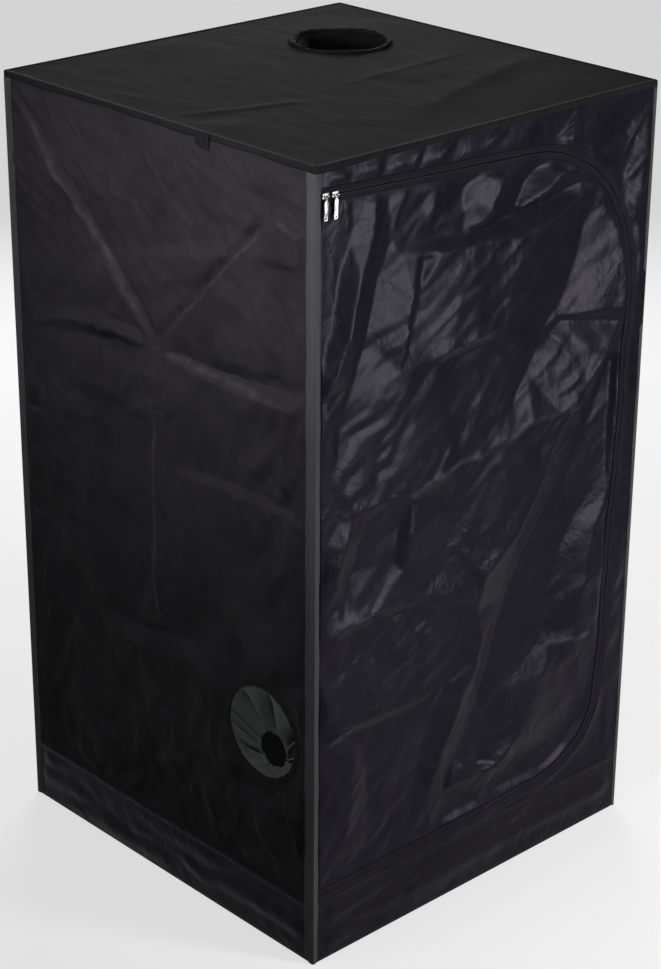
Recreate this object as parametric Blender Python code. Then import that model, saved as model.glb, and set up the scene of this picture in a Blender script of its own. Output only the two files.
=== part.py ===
"""Indoor grow tent: a steel pole frame inside a coated cloth skin with a zipped front door.

Lengths are in metres and +Z is up. The origin is on the floor under the middle of the tent,
the door faces -Y, and the side on which the door is sewn to its corner band is -X.
"""

import math

import bmesh
import bpy
from mathutils import Matrix, Vector

# Overall size of the skin
TENT_WIDTH = 1.0
TENT_DEPTH = 1.0
TENT_HEIGHT = 1.8

# Cloth layers, counted inwards from the outer faces
BINDING_THICKNESS = 0.001
CLOTH_THICKNESS = 0.0012
SEAT_GAP = 0.0003
CORNER_RADIUS = 0.006
TIGHTEST_RADIUS = 0.0005
CORNER_STEPS = 4
CUT_OVERRUN = 0.05

# Base tub and floor tray
TUB_HEIGHT = 0.145
TUB_EDGE_RADIUS = 0.004
TRAY_HEIGHT = 0.06
TRAY_THICKNESS = 0.001
TRAY_CORNER_RADIUS = 0.02
TRAY_POLE_CLEARANCE = 0.006

# Corner bands and roof binding
BAND_FRONT_LEG = 0.014
BAND_SIDE_LEG = 0.028
BAND_FLOOR_CLEARANCE = 0.0015
ROOF_BINDING_DROP = 0.014
ROOF_BINDING_WIDTH = 0.010

# Poles
POLE_RADIUS = 0.008
POLE_WALL = 0.001
POLE_SIDES = 12
JOINT_TAPER = 0.003
JOINT_LENGTH = 0.05

# Corner blocks that the poles push onto
BLOCK_BEVEL = 0.005
SPIGOT_LENGTH = 0.035

# Hanger bars across the roof, counted back from the front, and their clips on the side rails
BAR_FRONT_SETBACK = 0.28
BAR_BACK_SETBACK = 0.53
CLIP_WALL = 0.0013
CLIP_LENGTH = 0.024
CLIP_BOSS_LENGTH = 0.022
CLIP_MOUTH_HALF = 0.006

# Zip line: drops below the roof, insets from the right and rises above the tub, then its corners
ZIP_TOP_LEFT_DROP = 0.060
ZIP_TOP_RIGHT_DROP = 0.105
ZIP_TOP_RIGHT_INSET = 0.040
ZIP_BOTTOM_RIGHT_INSET = 0.100
ZIP_BOTTOM_RIGHT_RISE = 0.037
ZIP_BOTTOM_LEFT_RISE = 0.025
ZIP_TOP_RADIUS = 0.36
ZIP_BOTTOM_RADIUS = 0.22
ZIP_ARC_STEPS = 10

# Zip section, counted across from the middle of the zip
ZIP_CLOTH_EDGE = 0.009
TAPE_HALF_WIDTH = 0.016
TAPE_THICKNESS = 0.001
COIL_GAP = 0.0008
COIL_WIDTH = 0.0025
COIL_PROUD = 0.0012
COIL_SUNK = 0.0005

# The line that the door turns about stands in front of the cloth, because the zip folds there
HINGE_PROUD = 0.009

# Zip sliders and their pulls
SLIDER_SPACING = 0.026
SLIDER_LENGTH = 0.015
SLIDER_NOSE_HALF = 0.0065
SLIDER_TAIL_HALF = 0.005
SLIDER_PLATE = 0.0012
SLIDER_LIP = 0.001
POST_LENGTH = 0.004
BRIDGE_RADIUS = 0.0009
BRIDGE_LEG = 0.0018
PULL_RING_BORE = 0.0016
PULL_RING_WIRE = 0.0006
PULL_LENGTH = 0.042
PULL_WIDTH = 0.009
PULL_THICKNESS = 0.0016
PULL_NECK_WIDTH = 0.003
PULL_NECK_LENGTH = 0.004
PULL_HOLE_RADIUS = 0.0022
PULL_RIB_PITCH = 0.005
PULL_RIB_WIDTH = 0.0015
PULL_RIB_PROUD = 0.0005
PULL_RIBS = 4

# Duct ports: a hole, a ring round it outside and a gathered sleeve inside
PORT_RADIUS = 0.105
SIDE_PORT_SETBACK = 0.165
SIDE_PORT_Z = 0.515
ROOF_PORT_INSET = 0.275
ROOF_PORT_BACK_INSET = 0.295
HEM_WIDTH = 0.014
HEM_THICKNESS = 0.0015
SLEEVE_FLANGE = 0.012
SLEEVE_SIDES = 32
SLEEVE_PLEATS = 8
SLEEVE_PLEAT_SHARE = 0.10
SIDE_SLEEVE_DEPTH = 0.11
SIDE_SLEEVE_END_RADIUS = 0.048
SIDE_SLEEVE_DROOP = 0.045
SIDE_SLEEVE_LEAN = 0.016
ROOF_SLEEVE_DEPTH = 0.13
ROOF_SLEEVE_END_RADIUS = 0.082
ROOF_RIM_HEIGHT = 0.014
ROOF_RIM_STEPS = 6

# Webbing tab on the left roof edge, counted back from the front
TAB_SETBACK = 0.332
TAB_WIDTH = 0.042
TAB_DROP = 0.034
TAB_THICKNESS = 0.002

# Cloth folds, from how the skin was folded flat for its carton
FOLD_PITCH = 0.26
FOLD_HALF_WIDTH = 0.075
WALL_FOLD_HEIGHT = 0.008
DOOR_FOLD_HEIGHT = 0.012
ROOF_FOLD_HEIGHT = 0.004
FLAT_EDGE = 0.056
FOLD_FADE = 0.10
FINE_CELL = 0.058
COARSE_CELL = 0.09

# Door folds as shares of the door's width and height: both ends, then the share of the fold height
DOOR_FOLD_SHARES = (
    ((0.02, 0.72), (0.14, 0.95), 0.8),
    ((0.06, 0.60), (0.30, 0.93), -1.0),
    ((0.40, 0.55), (0.78, 0.95), 0.9),
    ((0.22, 0.20), (0.60, 0.72), -0.9),
    ((0.50, 0.28), (0.90, 0.74), 0.8),
    ((0.62, 0.86), (0.86, 0.93), -1.0),
    ((0.05, 0.08), (0.34, 0.48), 0.7),
    ((0.40, 0.05), (0.74, 0.34), -0.8),
)
LEVEL_FOLD_SHARE = 0.35
UPRIGHT_FOLD_PITCHES_SHARE = 2.5

# Layer faces worked out from the sizes above
HALF_WIDTH = TENT_WIDTH / 2
HALF_DEPTH = TENT_DEPTH / 2
LINING_DEPTH = BINDING_THICKNESS + SEAT_GAP
CLOTH_X = HALF_WIDTH - LINING_DEPTH
CLOTH_Y = HALF_DEPTH - LINING_DEPTH
CLOTH_TOP = TENT_HEIGHT - LINING_DEPTH
INNER_X = CLOTH_X - CLOTH_THICKNESS
INNER_Y = CLOTH_Y - CLOTH_THICKNESS
INNER_TOP = CLOTH_TOP - CLOTH_THICKNESS
WALL_BOTTOM = TUB_HEIGHT + SEAT_GAP
PANEL_HALF_WIDTH = HALF_WIDTH - CORNER_RADIUS
PANEL_HALF_DEPTH = HALF_DEPTH - CORNER_RADIUS

# The pole frame inside the layers
CLIP_BORE = POLE_RADIUS + SEAT_GAP
BLOCK_HALF = CLIP_BORE + CLIP_WALL
POLE_X = INNER_X - SEAT_GAP - BLOCK_HALF
POLE_Y = INNER_Y - SEAT_GAP - BLOCK_HALF
POLE_TOP_Z = INNER_TOP - SEAT_GAP - BLOCK_HALF
POLE_BOTTOM_Z = CLOTH_THICKNESS + SEAT_GAP + BLOCK_HALF
POLE_BORE = POLE_RADIUS - POLE_WALL
SPIGOT_RADIUS = POLE_BORE - SEAT_GAP
POLE_STAND_OFF = BLOCK_HALF + SEAT_GAP
JOINT_HEIGHT = TENT_HEIGHT / 2

# The zip and what runs on it
HINGE_X = -HALF_WIDTH + BAND_FRONT_LEG + SEAT_GAP
HINGE_Y = -HALF_DEPTH - HINGE_PROUD
ZIP_TOP_LEFT = (HINGE_X, TENT_HEIGHT - ZIP_TOP_LEFT_DROP)
ZIP_TOP_RIGHT = (HALF_WIDTH - ZIP_TOP_RIGHT_INSET, TENT_HEIGHT - ZIP_TOP_RIGHT_DROP)
ZIP_BOTTOM_RIGHT = (HALF_WIDTH - ZIP_BOTTOM_RIGHT_INSET, TUB_HEIGHT + ZIP_BOTTOM_RIGHT_RISE)
ZIP_BOTTOM_LEFT = (HINGE_X, TUB_HEIGHT + ZIP_BOTTOM_LEFT_RISE)
DOOR_EDGE_X = HINGE_X + SEAT_GAP
TAPE_FACE_Y = -HALF_DEPTH
TAPE_BACK_Y = TAPE_FACE_Y + TAPE_THICKNESS
COIL_FACE_Y = TAPE_FACE_Y - COIL_PROUD
COIL_BACK_Y = TAPE_BACK_Y + COIL_SUNK
POST_HALF = COIL_GAP - SEAT_GAP
PULL_RING_DROP = PULL_RING_BORE - BRIDGE_RADIUS - SEAT_GAP
PULL_RING_REACH = PULL_RING_BORE + 2 * PULL_RING_WIRE
BRIDGE_HEIGHT = PULL_RING_DROP + PULL_RING_REACH + SEAT_GAP
SLIDER_FACE = COIL_PROUD + SEAT_GAP + SLIDER_PLATE

# The duct ports
SIDE_PORT_Y = SIDE_PORT_SETBACK - HALF_DEPTH
ROOF_PORT_X = HALF_WIDTH - ROOF_PORT_INSET
ROOF_PORT_Y = HALF_DEPTH - ROOF_PORT_BACK_INSET

# Each finish: colour, roughness, metallic
FINISHES = {
    "wall_cloth": ((0.030, 0.029, 0.032), 0.62, 0.0),
    "door_cloth": ((0.040, 0.038, 0.050), 0.45, 0.0),
    "roof_cloth": ((0.024, 0.024, 0.025), 0.75, 0.0),
    "base_cloth": ((0.020, 0.020, 0.022), 0.60, 0.0),
    "band_cloth": ((0.055, 0.054, 0.056), 0.80, 0.0),
    "binding_tape": ((0.014, 0.014, 0.015), 0.85, 0.0),
    "zip_tape": ((0.018, 0.017, 0.020), 0.80, 0.0),
    "sleeve_cloth": ((0.050, 0.052, 0.053), 0.60, 0.0),
    "zip_metal": ((0.72, 0.71, 0.68), 0.30, 1.0),
    "pole_paint": ((0.80, 0.80, 0.79), 0.40, 0.0),
    "corner_plastic": ((0.030, 0.030, 0.032), 0.50, 0.0),
    "tray_cloth": ((0.62, 0.63, 0.64), 0.35, 0.6),
}
SHARP_ANGLE = math.radians(30)

# Each corner seen from above: name, side along X, side along Y
CORNERS = (
    ("front_left", -1, -1),
    ("front_right", 1, -1),
    ("back_left", -1, 1),
    ("back_right", 1, 1),
)


def clear_scene():
    """Removes whatever the scene held before."""
    for thing in list(bpy.data.objects):
        bpy.data.objects.remove(thing)


def finish(name):
    """The named finish as a material, made at its first use."""
    made = bpy.data.materials.get(name)
    if made:
        return made
    colour, roughness, metallic = FINISHES[name]
    made = bpy.data.materials.new(name)
    made.use_nodes = True
    shader = made.node_tree.nodes["Principled BSDF"]
    shader.inputs["Base Color"].default_value = (*colour, 1)
    shader.inputs["Roughness"].default_value = roughness
    shader.inputs["Metallic"].default_value = metallic
    return made


def mesh_of(bm):
    """The bmesh as mesh data whose faces point out."""
    bmesh.ops.recalc_face_normals(bm, faces=bm.faces)
    data = bpy.data.meshes.new("shape")
    bm.to_mesh(data)
    bm.free()
    return data


def place(name, data, finish_name, matrix=None, carrier=None):
    """One named piece from mesh data, in the carrier's own space where it has one."""
    piece = bpy.data.objects.new(name, data)
    bpy.context.scene.collection.objects.link(piece)
    data.materials.clear()
    data.materials.append(finish(finish_name))
    data.shade_smooth()
    data.set_sharp_from_angle(angle=SHARP_ANGLE)
    piece.parent = carrier
    piece.matrix_basis = matrix or Matrix.Identity(4)
    return piece


def carrier_at(name, matrix, carrier=None):
    """An empty on a joint's axis, which carries the pieces that move there."""
    empty = bpy.data.objects.new(name, None)
    bpy.context.scene.collection.objects.link(empty)
    empty.parent = carrier
    empty.matrix_basis = matrix
    return empty


def helper(name, data, matrix=None):
    """A hidden tool for Booleans."""
    tool = bpy.data.objects.new(name, data)
    bpy.context.scene.collection.objects.link(tool)
    tool.matrix_basis = matrix or Matrix.Identity(4)
    tool.hide_render = True
    tool.display_type = "WIRE"
    return tool


def add_boolean(piece, tool, operation):
    """A live Boolean with the exact solver."""
    modifier = piece.modifiers.new(operation.lower(), "BOOLEAN")
    modifier.operation = operation
    modifier.solver = "EXACT"
    modifier.object = tool


def fused(shapes, cuts=()):
    """Mesh data of the shapes joined into one body, less the cuts."""
    tools = [helper("shape", data) for data in (*shapes, *cuts)]
    body = tools[0]
    for tool in tools[1 : len(shapes)]:
        add_boolean(body, tool, "UNION")
    for tool in tools[len(shapes) :]:
        add_boolean(body, tool, "DIFFERENCE")
    bpy.context.view_layer.update()
    graph = bpy.context.evaluated_depsgraph_get()
    data = bpy.data.meshes.new_from_object(body.evaluated_get(graph))
    for tool in tools:
        bpy.data.objects.remove(tool)
    return data


def transformed(data, matrix):
    """A copy of mesh data moved by the matrix, faces out even where it mirrors."""
    bm = bmesh.new()
    bm.from_mesh(data)
    bmesh.ops.transform(bm, matrix=matrix, verts=bm.verts)
    return mesh_of(bm)


def skinned(rings, closed=False):
    """A solid through rings of equally many points, capped unless its section closes on itself."""
    bm = bmesh.new()
    loops = [[bm.verts.new(point) for point in ring] for ring in rings]
    pairs = list(zip(loops, loops[1:]))
    if closed:
        pairs.append((loops[-1], loops[0]))
    else:
        bm.faces.new(loops[0])
        bm.faces.new(loops[-1])
    for first, second in pairs:
        for k in range(len(first)):
            j = (k + 1) % len(first)
            bm.faces.new((first[k], first[j], second[j], second[k]))
    return mesh_of(bm)


def box(low, high):
    """A box between two corners."""
    bm = bmesh.new()
    low, high = Vector(low), Vector(high)
    bmesh.ops.create_cube(bm, size=1)
    bmesh.ops.scale(bm, vec=high - low, verts=bm.verts)
    bmesh.ops.translate(bm, vec=(low + high) / 2, verts=bm.verts)
    return mesh_of(bm)


def extruded(outline, low, high):
    """A prism on an outline of (x, z) points, from low to high along Y."""
    rings = [[(x, y, z) for x, z in outline] for y in (low, high)]
    return skinned(rings)


def turned(profile, sides, matrix=None):
    """A closed profile of (radius, height) points spun about Z."""
    bm = bmesh.new()
    corners = [bm.verts.new((radius, 0, height)) for radius, height in profile]
    edges = []
    for k, corner in enumerate(corners):
        edges.append(bm.edges.new((corner, corners[(k + 1) % len(corners)])))
    bmesh.ops.spin(
        bm,
        geom=corners + edges,
        axis=(0, 0, 1),
        cent=(0, 0, 0),
        angle=2 * math.pi,
        steps=sides,
        use_merge=True,
    )
    bmesh.ops.transform(bm, matrix=matrix or Matrix.Identity(4), verts=bm.verts)
    return mesh_of(bm)


def rod(radius, low, high, matrix=None, sides=POLE_SIDES):
    """A solid cylinder about Z from low to high, then moved by the matrix."""
    rings = []
    for height in (low, high):
        turn = [2 * math.pi * k / sides for k in range(sides)]
        rings.append([(radius * math.cos(a), radius * math.sin(a), height) for a in turn])
    return transformed(skinned(rings), matrix or Matrix.Identity(4))


def along(axis):
    """The turn that takes Z to the named axis."""
    turns = {
        "X": Matrix.Rotation(math.pi / 2, 4, "Y"),
        "Y": Matrix.Rotation(-math.pi / 2, 4, "X"),
        "Z": Matrix.Identity(4),
    }
    return turns[axis]


def rounded_loop(half_width, half_depth, radius, height):
    """The points of a rectangle with rounded corners, anticlockwise from above."""
    points = []
    for quarter, (side_x, side_y) in enumerate(((1, 1), (-1, 1), (-1, -1), (1, -1))):
        middle_x = side_x * (half_width - radius)
        middle_y = side_y * (half_depth - radius)
        for step in range(CORNER_STEPS + 1):
            angle = math.pi / 2 * (quarter + step / CORNER_STEPS)
            x = middle_x + radius * math.cos(angle)
            y = middle_y + radius * math.sin(angle)
            points.append((x, y, height))
    return points


def inset_loop(inset, height):
    """The tent's outline from above, moved in from its outer faces."""
    radius = max(CORNER_RADIUS - inset, TIGHTEST_RADIUS)
    return rounded_loop(HALF_WIDTH - inset, HALF_DEPTH - inset, radius, height)


def face_frame(side):
    """The frame of one face of the tent: local X along it, local Y up it, local Z out of it."""
    right, up, out, middle = {
        "front": ((1, 0, 0), (0, 0, 1), (0, -1, 0), (0, -CLOTH_Y, 0)),
        "back": ((-1, 0, 0), (0, 0, 1), (0, 1, 0), (0, CLOTH_Y, 0)),
        "left": ((0, -1, 0), (0, 0, 1), (-1, 0, 0), (-CLOTH_X, 0, 0)),
        "right": ((0, 1, 0), (0, 0, 1), (1, 0, 0), (CLOTH_X, 0, 0)),
        "roof": ((1, 0, 0), (0, 1, 0), (0, 0, 1), (0, 0, CLOTH_TOP)),
    }[side]
    frame = Matrix((right, up, out)).transposed().to_4x4()
    frame.translation = middle
    return frame


def build_base():
    """The waterproof base tub and the loose floor tray inside it."""
    outer = LINING_DEPTH
    inner = LINING_DEPTH + CLOTH_THICKNESS
    edge = TUB_EDGE_RADIUS
    rings = []
    for step in range(CORNER_STEPS + 1):
        angle = math.pi / 2 * step / CORNER_STEPS
        inset = outer + edge * (1 - math.sin(angle))
        rings.append(inset_loop(inset, edge * (1 - math.cos(angle))))
    rings.append(inset_loop(outer, TUB_HEIGHT))
    rings.append(inset_loop(inner, TUB_HEIGHT))
    rings.append(inset_loop(inner, edge))
    rings.append(inset_loop(inner + edge / 2, CLOTH_THICKNESS))
    place("base_tub", skinned(rings), "base_cloth")

    half_x = POLE_X - POLE_RADIUS - TRAY_POLE_CLEARANCE
    half_y = POLE_Y - POLE_RADIUS - TRAY_POLE_CLEARANCE
    floor = CLOTH_THICKNESS + SEAT_GAP
    rings = []
    for inset, height in (
        (0, floor),
        (0, TRAY_HEIGHT),
        (TRAY_THICKNESS, TRAY_HEIGHT),
        (TRAY_THICKNESS, floor + TRAY_THICKNESS),
    ):
        radius = TRAY_CORNER_RADIUS - inset
        rings.append(rounded_loop(half_x - inset, half_y - inset, radius, height))
    place("floor_tray", skinned(rings), "tray_cloth")


def tube(start, end, matrix=None, jointed=False):
    """A pole about Z, with a drawn-in spigot past its end if it is the lower of a jointed pair."""
    profile = [(POLE_BORE, start), (POLE_RADIUS, start), (POLE_RADIUS, end)]
    if jointed:
        neck = end + JOINT_TAPER
        tip = end + JOINT_LENGTH
        profile.append((SPIGOT_RADIUS, neck))
        profile.append((SPIGOT_RADIUS, tip))
        profile.append((SPIGOT_RADIUS - POLE_WALL, tip))
        profile.append((SPIGOT_RADIUS - POLE_WALL, neck))
        profile.append((POLE_BORE, end - JOINT_TAPER))
    else:
        profile.append((POLE_BORE, end))
    return turned(profile, POLE_SIDES, matrix)


def build_rails():
    """The four bottom and four top rails of the frame."""
    reach_x = POLE_X - POLE_STAND_OFF
    reach_y = POLE_Y - POLE_STAND_OFF
    for level, z in (("bottom", POLE_BOTTOM_Z), ("top", POLE_TOP_Z)):
        for side, y in (("front", -POLE_Y), ("back", POLE_Y)):
            data = tube(-reach_x, reach_x, along("X"))
            place(f"rail_{level}_{side}", data, "pole_paint", Matrix.Translation((0, y, z)))
        for side, x in (("left", -POLE_X), ("right", POLE_X)):
            data = tube(-reach_y, reach_y, along("Y"))
            place(f"rail_{level}_{side}", data, "pole_paint", Matrix.Translation((x, 0, z)))


def build_uprights():
    """The four uprights, each a lower pole and an upper pole that sits on its spigot."""
    low = POLE_BOTTOM_Z + POLE_STAND_OFF
    high = POLE_TOP_Z - POLE_STAND_OFF
    above = JOINT_HEIGHT + JOINT_TAPER + SEAT_GAP
    for name, side_x, side_y in CORNERS:
        foot = Matrix.Translation((side_x * POLE_X, side_y * POLE_Y, 0))
        lower = tube(low, JOINT_HEIGHT, jointed=True)
        place("upright_lower_" + name, lower, "pole_paint", foot)
        place("upright_upper_" + name, tube(above, high), "pole_paint", foot)


def corner_block():
    """A bevelled block with three spigots, towards +X, +Y and +Z."""
    bm = bmesh.new()
    bmesh.ops.create_cube(bm, size=2 * BLOCK_HALF)
    edges = bm.edges[:]
    bmesh.ops.bevel(bm, geom=edges, offset=BLOCK_BEVEL, affect="EDGES", segments=1, profile=0.5)
    length = BLOCK_HALF + SPIGOT_LENGTH
    spigots = [rod(SPIGOT_RADIUS, 0, length, along(axis)) for axis in "XYZ"]
    return fused([mesh_of(bm), *spigots])


def build_blocks():
    """The eight corner blocks, each a mirrored copy of one."""
    block = corner_block()
    for name, side_x, side_y in CORNERS:
        for level, z, up in (("bottom", POLE_BOTTOM_Z, 1), ("top", POLE_TOP_Z, -1)):
            data = transformed(block, Matrix.Diagonal((-side_x, -side_y, up, 1)))
            spot = Matrix.Translation((side_x * POLE_X, side_y * POLE_Y, z))
            place(f"corner_block_{level}_{name}", data, "corner_plastic", spot)


def rail_clip():
    """A snap clip for a rail along Y at the origin, with a spigot for a bar towards +X."""
    half = CLIP_LENGTH / 2
    boss_end = CLIP_BOSS_LENGTH
    ring = rod(BLOCK_HALF, -half, half, along("Y"), 2 * POLE_SIDES)
    boss = box((0, -POLE_RADIUS, -POLE_RADIUS), (boss_end, POLE_RADIUS, POLE_RADIUS))
    spigot = rod(SPIGOT_RADIUS, boss_end / 2, boss_end + SPIGOT_LENGTH, along("X"))
    hollow = rod(CLIP_BORE, -CUT_OVERRUN, CUT_OVERRUN, along("Y"), 2 * POLE_SIDES)
    mouth = box((-CLIP_MOUTH_HALF, -CUT_OVERRUN, -CUT_OVERRUN), (CLIP_MOUTH_HALF, CUT_OVERRUN, 0))
    return fused([ring, boss, spigot], [hollow, mouth])


def build_hanger(side, setback):
    """One hanger bar with its two clips, which slide along the side rails."""
    spot = Matrix.Translation((0, setback - HALF_DEPTH, POLE_TOP_Z))
    carrier = carrier_at(f"hanger_{side}_axis", spot)
    reach = POLE_X - CLIP_BOSS_LENGTH - SEAT_GAP
    place(f"hanger_bar_{side}", tube(-reach, reach, along("X")), "pole_paint", carrier=carrier)
    clip = rail_clip()
    for end, way in (("left", 1), ("right", -1)):
        data = transformed(clip, Matrix.Diagonal((way, 1, 1, 1)))
        spot = Matrix.Translation((-way * POLE_X, 0, 0))
        place(f"hanger_clip_{side}_{end}", data, "corner_plastic", spot, carrier)


def ramp(value, start, width):
    """0 up to start, rising smoothly to 1 over the width."""
    share = min(max((value - start) / width, 0), 1)
    return share * share * (3 - 2 * share)


def distance_to_segment(point, start, end):
    """How far a flat point is from the stretch between two others."""
    way = end - start
    share = min(max((point - start).dot(way) / way.length_squared, 0), 1)
    return (point - start - way * share).length


def fold(point, start, end):
    """1 on a fold line, falling evenly to 0 at its half width."""
    return max(0, 1 - distance_to_segment(point, start, end) / FOLD_HALF_WIDTH)


def level_folds(spot):
    """1 on each level carton fold, one every fold pitch up and down from the gusset's point."""
    pitches = (spot.y - CLOTH_TOP + PANEL_HALF_DEPTH) / FOLD_PITCH
    return max(0, 1 - abs(pitches - round(pitches)) * FOLD_PITCH / FOLD_HALF_WIDTH)


def back_relief(spot):
    """The back wall's level folds."""
    return WALL_FOLD_HEIGHT * level_folds(spot)


def gusset_relief(spot):
    """A side wall's carton folds: a V from both top corners, and ridges across and down from it."""
    apex = Vector((0, CLOTH_TOP - PANEL_HALF_DEPTH))
    corner = Vector((math.copysign(PANEL_HALF_DEPTH, spot.x), CLOTH_TOP))
    foot = Vector((0, apex.y - UPRIGHT_FOLD_PITCHES_SHARE * FOLD_PITCH))
    across = fold(spot, Vector((-PANEL_HALF_DEPTH, apex.y)), Vector((PANEL_HALF_DEPTH, apex.y)))
    down = fold(spot, apex, foot)
    ridges = max(across, down, LEVEL_FOLD_SHARE * level_folds(spot))
    return WALL_FOLD_HEIGHT * (ridges - fold(spot, apex, corner))


def clear_of_port(spot, x, y):
    """0 on and round a duct port, rising to 1 away from it."""
    distance = (spot - Vector((x, y))).length - PORT_RADIUS - HEM_WIDTH
    return ramp(distance, FLAT_EDGE, FOLD_FADE)


def left_wall_relief(spot):
    """The gusset folds, with flat cloth round the low duct port."""
    return gusset_relief(spot) * clear_of_port(spot, -SIDE_PORT_Y, SIDE_PORT_Z)


def roof_relief(spot):
    """The roof's faint carton folds, which only ever lift it off the bars."""
    across = fold(spot, Vector((-PANEL_HALF_WIDTH, 0)), Vector((PANEL_HALF_WIDTH, 0)))
    back = fold(spot, Vector((0, -PANEL_HALF_DEPTH)), Vector((0, PANEL_HALF_DEPTH)))
    lift = ROOF_FOLD_HEIGHT * max(across, back)
    return lift * clear_of_port(spot, ROOF_PORT_X, ROOF_PORT_Y)


def door_relief():
    """A function for the door's slanting hang folds and level carton folds, flat along the zip."""
    line = [Vector(point) for point in zip_path(0)]
    low = Vector(ZIP_BOTTOM_LEFT)
    span = Vector((ZIP_TOP_RIGHT[0] - HINGE_X, ZIP_TOP_LEFT[1] - ZIP_BOTTOM_LEFT[1]))

    def relief(spot):
        to_zip = min(distance_to_segment(spot, a, b) for a, b in zip(line, line[1:]))
        shape = LEVEL_FOLD_SHARE * level_folds(spot)
        for start_shares, end_shares, height_share in DOOR_FOLD_SHARES:
            start = low + Vector(start_shares) * span
            end = low + Vector(end_shares) * span
            shape += height_share * fold(spot, start, end)
        return DOOR_FOLD_HEIGHT * shape * ramp(to_zip, FLAT_EDGE, FOLD_FADE)

    return relief


def cloth(name, side, low, high, cell, relief, finish_name, cut, carrier=None):
    """A panel on one face: a folded sheet given its thickness, then cut by (tool, operation)."""
    bm = bmesh.new()
    low, high = Vector(low), Vector(high)
    size = high - low
    cells = [2 * round(length / cell / 2) for length in size]
    flat = max(FLAT_EDGE, size.x / cells[0], size.y / cells[1])
    bmesh.ops.create_grid(bm, x_segments=cells[0], y_segments=cells[1], size=1 / 2)
    bmesh.ops.scale(bm, vec=(*size, 1), verts=bm.verts)
    bmesh.ops.translate(bm, vec=((low + high) / 2).to_3d(), verts=bm.verts)
    for vert in bm.verts:
        spot = vert.co.to_2d()
        to_edge = min(*(spot - low), *(high - spot))
        vert.co.z = relief(spot) * ramp(to_edge, flat, FOLD_FADE)
    data = bpy.data.meshes.new(name)
    bm.to_mesh(data)
    bm.free()
    home = carrier.matrix_basis.inverted() if carrier else Matrix.Identity(4)
    panel = place(name, data, finish_name, home @ face_frame(side), carrier)
    wall = panel.modifiers.new("thickness", "SOLIDIFY")
    wall.thickness = CLOTH_THICKNESS
    wall.offset = -1
    if cut:
        add_boolean(panel, *cut)


def port_cutter(name, frame):
    """The tool that cuts a duct port's hole through the cloth at the frame's origin."""
    data = rod(PORT_RADIUS, -CUT_OVERRUN, CUT_OVERRUN, sides=SLEEVE_SIDES)
    return helper(name, data, frame)


def side_port_frame():
    """The middle of the left wall's duct port, local Z out of the wall."""
    return face_frame("left") @ Matrix.Translation((-SIDE_PORT_Y, SIDE_PORT_Z, 0))


def roof_port_frame():
    """The middle of the roof's duct port, local Z up."""
    return face_frame("roof") @ Matrix.Translation((ROOF_PORT_X, ROOF_PORT_Y, 0))


def build_walls():
    """The three walls and the roof, two of them with a duct port."""
    low = (-PANEL_HALF_DEPTH, WALL_BOTTOM)
    high = (PANEL_HALF_DEPTH, CLOTH_TOP)
    cut = (port_cutter("side_port_cutter", side_port_frame()), "DIFFERENCE")
    cloth("wall_left", "left", low, high, FINE_CELL, left_wall_relief, "wall_cloth", cut)
    cloth("wall_right", "right", low, high, COARSE_CELL, gusset_relief, "wall_cloth", None)
    low = (-PANEL_HALF_WIDTH, WALL_BOTTOM)
    high = (PANEL_HALF_WIDTH, CLOTH_TOP)
    cloth("wall_back", "back", low, high, COARSE_CELL, back_relief, "wall_cloth", None)
    high = (INNER_X - SEAT_GAP, INNER_Y - SEAT_GAP)
    low = (-high[0], -high[1])
    cut = (port_cutter("roof_port_cutter", roof_port_frame()), "DIFFERENCE")
    cloth("roof_panel", "roof", low, high, COARSE_CELL, roof_relief, "roof_cloth", cut)


def build_bands():
    """The corner bands over the four uprights."""
    low = BAND_FLOOR_CLEARANCE
    high = TENT_HEIGHT - ROOF_BINDING_DROP - SEAT_GAP
    for name, side_x, side_y in CORNERS:
        outline = []
        for inset, order in ((0, 1), (BINDING_THICKNESS, -1)):
            radius = CORNER_RADIUS - inset
            edge = [(HALF_WIDTH - BAND_FRONT_LEG, HALF_DEPTH - inset)]
            for step in range(CORNER_STEPS + 1):
                angle = math.pi / 2 * (1 - step / CORNER_STEPS)
                x = PANEL_HALF_WIDTH + radius * math.cos(angle)
                y = PANEL_HALF_DEPTH + radius * math.sin(angle)
                edge.append((x, y))
            edge.append((HALF_WIDTH - inset, HALF_DEPTH - BAND_SIDE_LEG))
            outline += edge[::order]
        rings = [[(side_x * x, side_y * y, z) for x, y in outline] for z in (low, high)]
        place("corner_band_" + name, skinned(rings), "band_cloth")


def build_roof_trim():
    """The binding round the roof edge and the webbing tab on its left side."""
    drop = TENT_HEIGHT - ROOF_BINDING_DROP
    under = TENT_HEIGHT - BINDING_THICKNESS
    section = (
        (0, drop),
        (0, TENT_HEIGHT),
        (ROOF_BINDING_WIDTH, TENT_HEIGHT),
        (ROOF_BINDING_WIDTH, under),
        (BINDING_THICKNESS, under),
        (BINDING_THICKNESS, drop),
    )
    rings = [inset_loop(inset, height) for inset, height in section]
    place("roof_edge_binding", skinned(rings, closed=True), "binding_tape")

    face = -HALF_WIDTH - SEAT_GAP
    middle = TAB_SETBACK - HALF_DEPTH
    low = (face - TAB_THICKNESS, middle - TAB_WIDTH / 2, TENT_HEIGHT - TAB_DROP)
    high = (face, middle + TAB_WIDTH / 2, TENT_HEIGHT - TAB_THICKNESS)
    place("roof_edge_tab", box(low, high), "binding_tape")


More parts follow.
